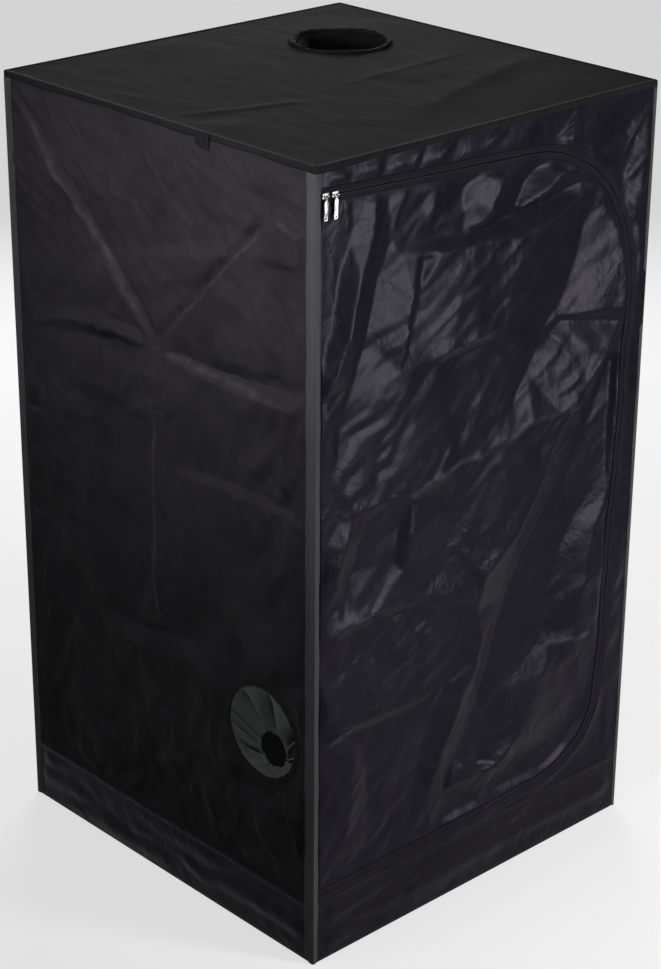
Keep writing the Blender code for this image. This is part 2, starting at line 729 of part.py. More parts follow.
def zip_path(offset, left_x=HINGE_X):
    """The zip line moved outwards by an offset, as (x, z) points from top left to bottom left."""
    corners = [
        Vector(corner)
        for corner in (ZIP_TOP_LEFT, ZIP_TOP_RIGHT, ZIP_BOTTOM_RIGHT, ZIP_BOTTOM_LEFT)
    ]
    lines = []
    for start, end in zip(corners, corners[1:]):
        way = (end - start).normalized()
        out = Vector((-way.y, way.x))
        lines.append((start + offset * out, way, out))
    points = [end_on(lines[0], left_x)]
    for first, second, radius in zip(lines, lines[1:], (ZIP_TOP_RADIUS, ZIP_BOTTOM_RADIUS)):
        points += rounded_corner(first, second, radius + offset)
    points.append(end_on(lines[-1], left_x))
    return [tuple(point) for point in points]


def end_on(line, x):
    """Where a line reaches the upright at x."""
    start, way, _ = line
    return start + way * ((x - start.x) / way.x)


def rounded_corner(first, second, radius):
    """The arc that rounds off the corner between two lines, as points."""
    start, way, out = first
    other, way_after, _ = second
    cross = way.x * way_after.y - way.y * way_after.x
    gap = other - start
    corner = start + way * ((gap.x * way_after.y - gap.y * way_after.x) / cross)
    turn = math.acos(way.dot(way_after))
    middle = corner - way * radius * math.tan(turn / 2) - out * radius
    arc = []
    for step in range(ZIP_ARC_STEPS + 1):
        spin = Matrix.Rotation(-turn * step / ZIP_ARC_STEPS, 2)
        arc.append(middle + radius * (spin @ out))
    return arc


def swept(section, left_x):
    """A strip whose section of (offset, y) points is swept along the zip line."""
    lines = [zip_path(offset, left_x) for offset, _ in section]
    rings = []
    for stations in zip(*lines):
        rings.append([(x, y, z) for (x, z), (_, y) in zip(stations, section)])
    return skinned(rings)


def zip_tape(side, left_x):
    """One tape with its coil, on the outside of the zip line for side 1, on the inside for -1."""
    coil_edge = COIL_GAP + COIL_WIDTH
    section = (
        (TAPE_HALF_WIDTH, TAPE_FACE_Y),
        (coil_edge, TAPE_FACE_Y),
        (coil_edge, COIL_FACE_Y),
        (COIL_GAP, COIL_FACE_Y),
        (COIL_GAP, COIL_BACK_Y),
        (coil_edge, COIL_BACK_Y),
        (coil_edge, TAPE_BACK_Y),
        (TAPE_HALF_WIDTH, TAPE_BACK_Y),
    )
    return swept([(side * offset, y) for offset, y in section], left_x)


def build_front(hinge):
    """The cloth round the door, the door itself and the two halves of the zip."""
    outline = [
        (-PANEL_HALF_WIDTH, CLOTH_TOP),
        *zip_path(ZIP_CLOTH_EDGE, -PANEL_HALF_WIDTH),
        (-PANEL_HALF_WIDTH, WALL_BOTTOM),
        (PANEL_HALF_WIDTH, WALL_BOTTOM),
        (PANEL_HALF_WIDTH, CLOTH_TOP),
    ]
    place("front_surround", extruded(outline, -CLOTH_Y, -INNER_Y), "door_cloth")
    place("zip_tape_surround", zip_tape(1, HINGE_X), "zip_tape")

    outline = zip_path(-ZIP_CLOTH_EDGE, DOOR_EDGE_X)
    shape = extruded(outline, -CLOTH_Y - CUT_OVERRUN, -CLOTH_Y + CUT_OVERRUN)
    cut = (helper("door_outline", shape), "INTERSECT")
    low = (DOOR_EDGE_X - CUT_OVERRUN, ZIP_BOTTOM_LEFT[1] - CUT_OVERRUN)
    high = (ZIP_TOP_RIGHT[0] + CUT_OVERRUN, ZIP_TOP_LEFT[1] + CUT_OVERRUN)
    relief = door_relief()
    cloth("door_panel", "front", low, high, FINE_CELL, relief, "door_cloth", cut, hinge)
    tape = transformed(zip_tape(-1, DOOR_EDGE_X), hinge.matrix_basis.inverted())
    place("zip_tape_door", tape, "zip_tape", carrier=hinge)


def slider_mesh():
    """A zip slider about the point on the tapes' face: X along the zip, Z across it, -Y out."""
    half = SLIDER_LENGTH / 2
    mid_plate = -SLIDER_FACE + SLIDER_PLATE / 2
    wing = [
        (-half, -SLIDER_TAIL_HALF),
        (half, -SLIDER_NOSE_HALF),
        (half, SLIDER_NOSE_HALF),
        (-half, SLIDER_TAIL_HALF),
    ]
    shapes = [extruded(wing, -SLIDER_FACE, -SLIDER_FACE + SLIDER_PLATE)]
    outer = SEAT_GAP
    inner = SEAT_GAP + SLIDER_LIP
    tip = half - SEAT_GAP
    for side in (-1, 1):
        lip = [
            (-tip, side * (SLIDER_TAIL_HALF - inner)),
            (tip, side * (SLIDER_NOSE_HALF - inner)),
            (tip, side * (SLIDER_NOSE_HALF - outer)),
            (-tip, side * (SLIDER_TAIL_HALF - outer)),
        ]
        shapes.append(extruded(lip, mid_plate, -SEAT_GAP))
    rear_near = TAPE_THICKNESS + COIL_SUNK + SEAT_GAP
    rear_wing = [
        (-half, -SLIDER_TAIL_HALF),
        (half, -SLIDER_NOSE_HALF),
        (half, POST_HALF),
        (-half, -COIL_GAP),
    ]
    shapes.append(extruded(rear_wing, rear_near, rear_near + SLIDER_PLATE))
    post_start = tip - SLIDER_LIP - POST_LENGTH
    post_end = (tip - SLIDER_LIP, rear_near + SLIDER_PLATE / 2, POST_HALF)
    shapes.append(box((post_start, mid_plate, -POST_HALF), post_end))
    return fused(shapes + bridge_shapes(mid_plate))


def bridge_shapes(root_y):
    """The bar that the pull's ring turns on and the two legs that carry it."""
    bar_y = -SLIDER_FACE - BRIDGE_HEIGHT
    near = PULL_WIDTH / 2
    far = near + BRIDGE_LEG
    middle = (near + far) / 2
    wall = BRIDGE_RADIUS + SEAT_GAP
    bar = rod(BRIDGE_RADIUS, -middle, middle, along("X"))
    shapes = [transformed(bar, Matrix.Translation((0, bar_y, 0)))]
    for side in (-1, 1):
        low_x, high_x = sorted((side * near, side * far))
        shapes.append(box((low_x, bar_y - wall, -wall), (high_x, root_y, wall)))
    return shapes


def pull_mesh():
    """A pull that hangs from its axis at the origin: ring, neck, and a ribbed plate with a hole."""
    middle = PULL_RING_BORE + PULL_RING_WIRE
    half_turn = POLE_SIDES // 2
    wire = []
    for step in range(half_turn):
        angle = 2 * math.pi * step / half_turn
        x = middle + PULL_RING_WIRE * math.cos(angle)
        wire.append((x, PULL_RING_WIRE * math.sin(angle)))
    stand = Matrix.Translation((0, 0, -PULL_RING_DROP)) @ along("X")
    ring = turned(wire, POLE_SIDES, stand)
    top = -PULL_RING_DROP - middle
    shoulder = top - PULL_NECK_LENGTH
    half = PULL_WIDTH / 2
    thick = PULL_THICKNESS / 2
    half_neck = PULL_NECK_WIDTH / 2
    neck_low = (-half_neck, -thick + PULL_RIB_PROUD / 2, shoulder - PULL_NECK_WIDTH)
    neck = box(neck_low, (half_neck, thick - PULL_RIB_PROUD / 2, top))
    foot = shoulder - PULL_LENGTH + half
    outline = [(-half / 2, shoulder), (half / 2, shoulder), (half, shoulder - half)]
    for step in range(half_turn + 1):
        angle = -math.pi * step / half_turn
        outline.append((half * math.cos(angle), foot + half * math.sin(angle)))
    outline.append((-half, shoulder - half))
    shapes = [ring, neck, extruded(outline, -thick, thick)]
    rib_half = half - PULL_RIB_WIDTH
    proud = thick + PULL_RIB_PROUD
    for rib in range(PULL_RIBS):
        z = shoulder - PULL_WIDTH - rib * PULL_RIB_PITCH
        shapes.append(box((-rib_half, -proud, z - PULL_RIB_WIDTH), (rib_half, proud, z)))
    hole = rod(PULL_HOLE_RADIUS, -CUT_OVERRUN, CUT_OVERRUN, along("Y"))
    hole = transformed(hole, Matrix.Translation((0, 0, foot)))
    return fused(shapes, [hole])


def build_sliders(hinge):
    """The two sliders parked at the top left, the second carried by the first, and their pulls."""
    run = Vector(ZIP_TOP_RIGHT) - Vector(ZIP_TOP_LEFT)
    slope = math.atan2(-run.y, run.x)
    x = HINGE_X + SLIDER_LENGTH / 2 + SEAT_GAP
    z = ZIP_TOP_LEFT[1] - (x - HINGE_X) * math.tan(slope)
    spot = Matrix.Translation((x, TAPE_FACE_Y, z)) @ Matrix.Rotation(slope, 4, "Y")
    park = hinge.matrix_basis.inverted() @ spot
    bridge = Matrix.Translation((0, -SLIDER_FACE - BRIDGE_HEIGHT, 0))
    carrier = hinge
    for name in ("trailing", "leading"):
        carrier = carrier_at(f"slider_{name}_axis", park, carrier)
        place(f"zip_slider_{name}", slider_mesh(), "zip_metal", carrier=carrier)
        hook = carrier_at(f"pull_{name}_axis", bridge, carrier)
        place(f"zip_pull_{name}", pull_mesh(), "zip_metal", carrier=hook)
        park = Matrix.Translation((SLIDER_SPACING, 0, 0))


def sleeve(name, frame, depth, end_radius, droop, lean):
    """A pleated sleeve from a flange in the frame's plane Z = 0 to a smaller mouth at Z = -depth."""
    neck = PORT_RADIUS - CLOTH_THICKNESS - SEAT_GAP
    middle = (neck + end_radius) / 2
    section = [
        (PORT_RADIUS + SLEEVE_FLANGE, 0, 0),
        (neck, 0, 0),
        (middle, -depth / 2, 1 / 2),
        (end_radius, -depth, 1),
    ]
    bm = bmesh.new()
    rings = []
    for radius, height, share in section:
        ring = []
        for k in range(SLEEVE_SIDES):
            angle = 2 * math.pi * k / SLEEVE_SIDES
            pleat = 1 + share * SLEEVE_PLEAT_SHARE * math.cos(SLEEVE_PLEATS * angle)
            x = radius * pleat * math.cos(angle) + lean * share
            y = radius * pleat * math.sin(angle) - droop * share
            ring.append(bm.verts.new((x, y, height)))
        rings.append([*ring, ring[0]])
    for outer, inner in zip(rings, rings[1:]):
        for k in range(SLEEVE_SIDES):
            bm.faces.new((outer[k], outer[k + 1], inner[k + 1]))
            bm.faces.new((outer[k], inner[k + 1], inner[k]))
    data = bpy.data.meshes.new(name)
    bm.to_mesh(data)
    bm.free()
    wall = place(name, data, "sleeve_cloth", frame).modifiers.new("thickness", "SOLIDIFY")
    wall.thickness = CLOTH_THICKNESS
    wall.offset = -1


def hem_ring():
    """A flat webbing ring round a duct port, on the plane Z = 0."""
    outer = PORT_RADIUS + HEM_WIDTH
    profile = [
        (PORT_RADIUS, 0),
        (outer, 0),
        (outer, HEM_THICKNESS),
        (PORT_RADIUS, HEM_THICKNESS),
    ]
    return turned(profile, SLEEVE_SIDES)


def rolled_rim():
    """The rolled cloth that stands up round the roof port, on the plane Z = 0."""
    half = HEM_WIDTH / 2
    profile = []
    for step in range(ROOF_RIM_STEPS + 1):
        angle = math.pi * step / ROOF_RIM_STEPS
        x = PORT_RADIUS + half + half * math.cos(angle)
        profile.append((x, ROOF_RIM_HEIGHT * math.sin(angle)))
    return turned(profile, SLEEVE_SIDES)


def build_ports():
    """What lies round the two duct ports outside, and their sleeves inside."""
    outside = Matrix.Translation((0, 0, SEAT_GAP))
    inside = Matrix.Translation((0, 0, -CLOTH_THICKNESS - SEAT_GAP))
    frame = side_port_frame()
    place("side_port_hem", hem_ring(), "sleeve_cloth", frame @ outside)
    sizes = (SIDE_SLEEVE_DEPTH, SIDE_SLEEVE_END_RADIUS, SIDE_SLEEVE_DROOP, SIDE_SLEEVE_LEAN)
    sleeve("side_port_sleeve", frame @ inside, *sizes)
    frame = roof_port_frame()
    place("roof_port_rim", rolled_rim(), "sleeve_cloth", frame @ outside)
    sleeve("roof_port_sleeve", frame @ inside, ROOF_SLEEVE_DEPTH, ROOF_SLEEVE_END_RADIUS, 0, 0)


def main():
    """Builds every piece of the tent."""
    clear_scene()
    build_base()
    build_rails()
    build_uprights()
    build_blocks()
    build_hanger("front", BAR_FRONT_SETBACK)
    build_hanger("back", BAR_BACK_SETBACK)
    build_walls()
    build_bands()
    build_roof_trim()
    hinge = carrier_at("door_hinge_axis", Matrix.Translation((HINGE_X, HINGE_Y, 0)))
    build_front(hinge)
    build_sliders(hinge)
    build_ports()


main()
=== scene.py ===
"""Looks of an indoor grow tent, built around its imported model.

Lengths are in metres and +Z is up. The zipped door faces -Y and is sewn to the corner band at -X.
Each sub-assembly is a class that builds its meshes and dresses them. Each finish is a dataclass.
"""

import logging
import math
from collections.abc import Callable, Sequence
from dataclasses import dataclass, field
from enum import Enum
from functools import cached_property

import bmesh
import bpy
import numpy as np
from mathutils import Matrix, Vector
from mathutils.geometry import delaunay_2d_cdt


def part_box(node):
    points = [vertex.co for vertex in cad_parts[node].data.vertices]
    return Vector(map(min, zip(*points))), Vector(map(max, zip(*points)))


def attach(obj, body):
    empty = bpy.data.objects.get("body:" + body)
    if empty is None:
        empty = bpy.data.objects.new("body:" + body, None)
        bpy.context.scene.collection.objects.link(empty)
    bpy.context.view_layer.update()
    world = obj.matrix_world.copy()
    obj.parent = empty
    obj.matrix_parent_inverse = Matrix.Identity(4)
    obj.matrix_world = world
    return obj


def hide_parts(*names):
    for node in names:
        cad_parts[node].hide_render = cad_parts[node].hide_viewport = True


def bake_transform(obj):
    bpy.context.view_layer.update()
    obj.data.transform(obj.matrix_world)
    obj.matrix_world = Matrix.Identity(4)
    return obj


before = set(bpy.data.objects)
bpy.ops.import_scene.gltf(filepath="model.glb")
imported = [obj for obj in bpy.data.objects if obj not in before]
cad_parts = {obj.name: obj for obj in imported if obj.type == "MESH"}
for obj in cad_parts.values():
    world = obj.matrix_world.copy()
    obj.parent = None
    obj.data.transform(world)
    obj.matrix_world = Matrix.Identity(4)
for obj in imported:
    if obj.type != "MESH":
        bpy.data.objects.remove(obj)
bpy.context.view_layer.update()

log = logging.getLogger("grow_tent")

Array = np.ndarray
Arrays = tuple[Array, Array]
BMesh = bmesh.types.BMesh
Pair = tuple[float, float]
Triple = tuple[float, float, float]
Mapping = Callable[[Array, Array], Arrays]
Waves = Sequence[Triple]

MILLIMETRE = 0.001
WELD = 0.00002
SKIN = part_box("base_tub")[1].x
TUB_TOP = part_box("base_tub")[1].z
SKIN_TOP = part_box("front_surround")[1].z
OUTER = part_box("roof_edge_binding")[1].x
TENT_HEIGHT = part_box("roof_edge_binding")[1].z
CLOTH_THICKNESS = 0.0009
LAYER_GAP = 0.0003


class Side(Enum):
    """The faces of the tent, each with the axis it faces along."""

    FRONT = (0, -1, 0)
    LEFT = (-1, 0, 0)
    RIGHT = (1, 0, 0)
    BACK = (0, 1, 0)
    ROOF = (0, 0, 1)

    def lay(self, across: Array, up: Array, out: Array) -> Array:
        """Turns panel coordinates into places.

        Args:
            across: x on the front, back and roof, y on the left and right.
            up: z on the walls, y on the roof.
            out: how far the place stands out from the tent's axis or floor.

        Returns:
            The places, one row each.
        """
        x, y, z = self.value
        if z:
            return np.stack((across, up, out), 1)
        if x:
            return np.stack((x * out, across, up), 1)
        return np.stack((across, y * out, up), 1)


class Keep(Enum):
    """Which part of a grid stays when it is cut along an outline."""

    INSIDE = 1
    OUTSIDE = -1


def rise(value: Array | float, start: float, end: float) -> Array:
    """Rises smoothly from 0 at start to 1 at end."""
    share = np.clip((value - start) / (end - start), 0, 1)
    return share * share * (3 - 2 * share)


def ripple(along: Array, waves: Waves) -> Array:
    """The sum of sine waves, each given by its height, its radians per metre or turn, and its start."""
    return sum(height * np.sin(along * rate + start) for height, rate, start in waves)


def ring_of(node: str, first: int, second: int) -> tuple[Pair, float]:
    """The middle of a round CAD node on two of its axes, and its outer radius.

    Args:
        node: the CAD node.
        first: the axis that is read first.
        second: the other axis.

    Returns:
        The middle and the radius.
    """
    low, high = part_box(node)
    middle = ((low[first] + high[first]) / 2, (low[second] + high[second]) / 2)
    return middle, (high[first] - low[first]) / 2


def lay_on(bm: BMesh, places: Array, flat: Array) -> None:
    """Moves each vertex to its place and keeps its flat position as a UV map in metres.

    Args:
        bm: the mesh.
        places: a place for each vertex.
        flat: a position in the flat cloth for each vertex.
    """
    cloth_map = bm.loops.layers.uv.verify()
    for vert, place in zip(bm.verts, places.tolist()):
        vert.co = place
    bm.verts.index_update()
    spots = flat.tolist()
    for face in bm.faces:
        for loop in face.loops:
            loop[cloth_map].uv = spots[loop.vert.index]


def laid_grid(columns: int, rows: int, mapping: Mapping) -> BMesh:
    """A grid laid onto a surface and welded where its edges meet.

    Args:
        columns: cells along the first share.
        rows: cells along the second share.
        mapping: turns two arrays of shares into places and flat positions.

    Returns:
        The mesh.
    """
    bm = bmesh.new()
    bmesh.ops.create_grid(bm, x_segments=columns, y_segments=rows, size=0.5)
    shares = np.array([vert.co for vert in bm.verts])[:, :2] + 0.5
    places, flat = mapping(shares[:, 0], shares[:, 1])
    lay_on(bm, places, flat)
    rim = [vert for vert in bm.verts if vert.is_boundary]
    bmesh.ops.remove_doubles(bm, verts=rim, dist=WELD)
    return bm


def face_away(bm: BMesh, centre: Vector) -> None:
    """Turns an open sheet's faces so that they point away from a centre.

    Args:
        bm: the mesh.
        centre: a point behind the sheet.
    """
    bm.normal_update()
    middles = np.array([face.calc_center_median() for face in bm.faces]) - np.array(centre)
    normals = np.array([face.normal for face in bm.faces])
    if (middles * normals).sum() < 0:
        bmesh.ops.reverse_faces(bm, faces=bm.faces)


def close_ends(bm: BMesh) -> None:
    """Fills a tube's open ends and points its faces out.

    Args:
        bm: the tube.
    """
    open_edges = [edge for edge in bm.edges if edge.is_boundary]
    bmesh.ops.holes_fill(bm, edges=open_edges)
    bmesh.ops.recalc_face_normals(bm, faces=bm.faces)


def trim(bm: BMesh, outline: Array, keep: Keep, reach: float) -> None:
    """Cuts a flat grid along a convex outline and removes what isn't kept.

    Args:
        bm: the grid, flat on z = 0.
        outline: the corners, anticlockwise.
        keep: which part stays.
        reach: how far from a chord its faces can lie.
    """
    ends = np.roll(outline, -1, 0)
    chords = ends - outline
    lengths = np.linalg.norm(chords, axis=1)
    inward = np.stack((-chords[:, 1], chords[:, 0]), 1) / lengths[:, None]

    def depths(faces: Sequence[bmesh.types.BMFace]) -> Array:
        """How far inside each chord each face's middle lies."""
        middles = np.array([face.calc_center_median()[:2] for face in faces])
        return np.einsum("fck,ck->fc", middles[:, None] - outline[None], inward)

    faces = list(bm.faces)
    near = np.abs(depths(faces).min(1)) < 2 * reach
    ring = {face for face, close in zip(faces, near) if close}
    for corner, chord, length, normal in zip(outline, chords, lengths, inward):
        middle = corner + chord / 2
        limit = length / 2 + reach
        local = [
            face
            for face in ring
            if face.is_valid and math.dist(face.calc_center_median()[:2], middle) < limit
        ]
        if not local:
            continue
        edges = {edge for face in local for edge in face.edges}
        verts = {vert for face in local for vert in face.verts}
        cut = bmesh.ops.bisect_plane(
            bm,
            geom=[*local, *edges, *verts],
            dist=WELD,
            plane_co=(*corner, 0),
            plane_no=(*normal, 0),
        )
        ring.update(item for item in cut["geom"] if isinstance(item, bmesh.types.BMFace))
    faces = list(bm.faces)
    inside = depths(faces).min(1) > 0
    wrong = [face for face, within in zip(faces, inside) if within != (keep is Keep.INSIDE)]
    bmesh.ops.delete(bm, geom=wrong, context="FACES")


@dataclass(frozen=True)
class Dressing:
    """How a finished mesh becomes a piece of the tent."""

    slot: str
    finishes: Sequence[bpy.types.Material]
    body: str = "root"
    replaces: Sequence[str] = ()
    thickness: float = 0.0
    sharp: float = math.radians(40)

    def make(self, name: str, bm: BMesh, wear_and_highlight: Array | None = None) -> bpy.types.Object:
        """Turns a mesh into a named piece on its body.

        Args:
            name: the piece's name.
            bm: the mesh, which is used up.
            wear_and_highlight: how much each vertex is painted lighter along a crease, as painted highlight
                and partly worn cloth.

        Returns:
            The piece.
        """
        mesh = bpy.data.meshes.new(name)
        bm.to_mesh(mesh)
        bm.free()
        for finish in self.finishes:
            mesh.materials.append(finish)
        mesh.shade_smooth()
        mesh.set_sharp_from_angle(angle=self.sharp)
        # Stores where the creases are painted lighter: a painted highlight, partly worn cloth.
        shades = mesh.attributes.new("wear_and_highlight", "FLOAT", "POINT")
        if wear_and_highlight is not None:
            shades.data.foreach_set("value", wear_and_highlight.astype(np.float32))
        piece = bpy.data.objects.new(name, mesh)
        bpy.context.scene.collection.objects.link(piece)
        if self.thickness:
            wall = piece.modifiers.new("thickness", "SOLIDIFY")
            wall.thickness = self.thickness
            wall.offset = -1
            wall.material_offset = len(self.finishes) - 1
        if self.body:
            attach(piece, self.body)
        if self.replaces:
            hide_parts(*self.replaces)
        log.info("%s: %d faces on %s", name, len(mesh.polygons), self.body or "two bodies")
        return piece


class Sockets:
    """A node tree under construction, with short ways to add and join nodes."""

    def __init__(self, tree: bpy.types.NodeTree) -> None:
        """Keeps the tree."""
        self.tree = tree

    def add(self, kind: str, **values: object) -> bpy.types.Node:
        """Adds a node.

        Args:
            kind: the node's type name, without its ShaderNode prefix.
            values: properties by name, and inputs by name with links or numbers under inputs.

        Returns:
            The node.
        """
        node = self.tree.nodes.new("ShaderNode" + kind)
        inputs = values.pop("inputs", {})
        for name, value in values.items():
            setattr(node, name, value)
        for name, value in inputs.items():
            socket = node.inputs[name]
            if isinstance(value, bpy.types.NodeSocket):
                self.tree.links.new(value, socket)
            else:
                socket.default_value = value
        return node

    def sum(self, operation: str, *terms: object) -> bpy.types.NodeSocket:
        """The result of one Math node."""
        node = self.add("Math", operation=operation, inputs=dict(enumerate(terms)))
        return node.outputs[0]

    def blend(self, share: object, first: object, second: object) -> bpy.types.NodeSocket:
        """A colour between two colours."""
        node = self.add("Mix", data_type="RGBA", inputs={0: share, 6: first, 7: second})
        return node.outputs[2]

    def spread(self, value: object, low: float, high: float) -> bpy.types.NodeSocket:
        """A value from 0 to 1 spread between low and high."""
        node = self.add("MapRange", inputs={0: value, 3: low, 4: high})
        return node.outputs[0]


def effect(name: str, inputs: dict[str, tuple[str, object]], outputs: Sequence[str]) -> tuple:
    """An empty shader node group.

    Args:
        name: the group's name.
        inputs: each input's socket type and its usual value, by name.
        outputs: the names of its number outputs.

    Returns:
        The group, its sockets helper, its input node and its output node.
    """
    tree = bpy.data.node_groups.new(name, "ShaderNodeTree")
    for label, (kind, usual) in inputs.items():
        socket = tree.interface.new_socket(name=label, in_out="INPUT", socket_type=kind)
        if usual is not None:
            socket.default_value = usual
    for label in outputs:
        tree.interface.new_socket(name=label, in_out="OUTPUT", socket_type="NodeSocketFloat")
    start = tree.nodes.new("NodeGroupInput")
    end = tree.nodes.new("NodeGroupOutput")
    return tree, Sockets(tree), start, end


def woven_effect() -> bpy.types.NodeTree:
    """Two by two basket weave: how high the threads stand, and where one is a shade lighter.

    Returns:
        The node group.
    """
    inputs = {
        "Flat": ("NodeSocketVector", None),
        "Pitch": ("NodeSocketFloat", 0.0012),
    }
    tree, nodes, start, end = effect("woven threads", inputs, ("Height", "Slub"))
    parts = nodes.add("SeparateXYZ", inputs={0: start.outputs["Flat"]})
    turns = nodes.sum("DIVIDE", 2 * math.pi, start.outputs["Pitch"])
    waves = []
    for axis in (0, 1):
        angle = nodes.sum("MULTIPLY", parts.outputs[axis], turns)
        waves.append(nodes.sum("SINE", angle))
    crossing = nodes.sum("MULTIPLY", *waves)
    tree.links.new(nodes.spread(nodes.sum("ADD", crossing, 1.0), 0.0, 0.5), end.inputs["Height"])
    stretched = nodes.add(
        "VectorMath", operation="MULTIPLY", inputs={0: start.outputs["Flat"], 1: (60, 900, 1)}
    )
    slub = nodes.add("TexNoise", inputs={"Vector": stretched.outputs[0], "Scale": 1.0, "Detail": 2.0})
    tree.links.new(slub.outputs["Fac"], end.inputs["Slub"])
    return tree


def mottle_effect() -> bpy.types.NodeTree:
    """Uneven shade over a surface, broad and fine, from 0 to 1.

    Returns:
        The node group.
    """
    inputs = {"Broad": ("NodeSocketFloat", 7.0), "Fine": ("NodeSocketFloat", 60.0)}
    tree, nodes, start, end = effect("uneven shade", inputs, ("Mask", "Grain"))
    spot = nodes.add("TexCoord").outputs["Object"]
    broad = nodes.add("TexNoise", inputs={"Vector": spot, "Scale": start.outputs["Broad"], "Detail": 4.0})
    fine = nodes.add("TexNoise", inputs={"Vector": spot, "Scale": start.outputs["Fine"], "Detail": 3.0})
    mixed = nodes.sum(
        "MULTIPLY_ADD", fine.outputs["Fac"], 0.35, nodes.sum("MULTIPLY", broad.outputs["Fac"], 0.65)
    )
    clear = nodes.add("MapRange", inputs={0: mixed, 1: 0.36, 2: 0.64})
    tree.links.new(clear.outputs[0], end.inputs["Mask"])
    tree.links.new(fine.outputs["Fac"], end.inputs["Grain"])
    return tree


def crease_wear_and_highlight_effect() -> bpy.types.NodeTree:
    """Crease lines painted lighter, partly as worn cloth and partly as painted highlight, from the vertex
    attribute broken up by noise.

    Returns:
        The node group.
    """
    inputs = {"Amount": ("NodeSocketFloat", 1.0)}
    tree, nodes, start, end = effect("rubbed creases", inputs, ("Mask",))
    wear_and_highlight = nodes.add("Attribute", attribute_name="wear_and_highlight").outputs["Fac"]
    spot = nodes.add("TexCoord").outputs["Object"]
    patches = nodes.add("TexNoise", inputs={"Vector": spot, "Scale": 35.0, "Detail": 3.0})
    broken = nodes.add("MapRange", inputs={0: patches.outputs["Fac"], 1: 0.3, 2: 0.62})
    rubbed_and_lit = nodes.sum("MULTIPLY", wear_and_highlight, broken.outputs[0])
    tree.links.new(nodes.sum("MULTIPLY", rubbed_and_lit, start.outputs["Amount"]), end.inputs["Mask"])
    return tree


def crinkle_effect() -> bpy.types.NodeTree:
    """Fine sharp-edged crinkles in coated cloth, as a height from 0 to 1.

    Returns:
        The node group.
    """
    inputs = {"Coarse": ("NodeSocketFloat", 20.0), "Fine": ("NodeSocketFloat", 48.0)}
    tree, nodes, start, end = effect("fine crinkles", inputs, ("Height",))
    spot = nodes.add("TexCoord").outputs["Object"]
    drift = nodes.add("TexNoise", inputs={"Vector": spot, "Scale": 14.0, "Detail": 2.0})
    shift = nodes.add(
        "VectorMath", operation="MULTIPLY_ADD", inputs={0: drift.outputs["Color"], 1: (0.05,) * 3, 2: spot}
    )
    patches = nodes.add("TexNoise", inputs={"Vector": spot, "Scale": 5.0, "Detail": 2.0})
    crisp = nodes.add("MapRange", inputs={0: patches.outputs["Fac"], 1: 0.38, 2: 0.66, 3: 0.15, 4: 1.0})
    layers = []
    for label, share in (("Coarse", 1.0), ("Fine", 0.4)):
        cells = nodes.add(
            "TexVoronoi", feature="DISTANCE_TO_EDGE", inputs={
                "Vector": shift.outputs[0], "Scale": start.outputs[label]
            }
        )
        layers.append(nodes.sum("MULTIPLY", nodes.sum("MINIMUM", cells.outputs["Distance"], 0.35), share))
    folded = nodes.sum("MULTIPLY", nodes.sum("ADD", *layers), crisp.outputs[0])
    tree.links.new(folded, end.inputs["Height"])
    return tree


@dataclass(frozen=True)
class Effects:
    """The shader node groups that several finishes share."""

    woven: bpy.types.NodeTree = field(default_factory=woven_effect)
    mottle: bpy.types.NodeTree = field(default_factory=mottle_effect)
    crease: bpy.types.NodeTree = field(default_factory=crease_wear_and_highlight_effect)
    crinkle: bpy.types.NodeTree = field(default_factory=crinkle_effect)


def new_material(name: str) -> tuple[bpy.types.Material, Sockets, bpy.types.Node]:
    """A material with its sockets helper and its shader.

    Args:
        name: the material's name.

    Returns:
        The material, its helper and its shader.
    """
    material = bpy.data.materials.new(name)
    material.use_nodes = True
    return material, Sockets(material.node_tree), material.node_tree.nodes["Principled BSDF"]


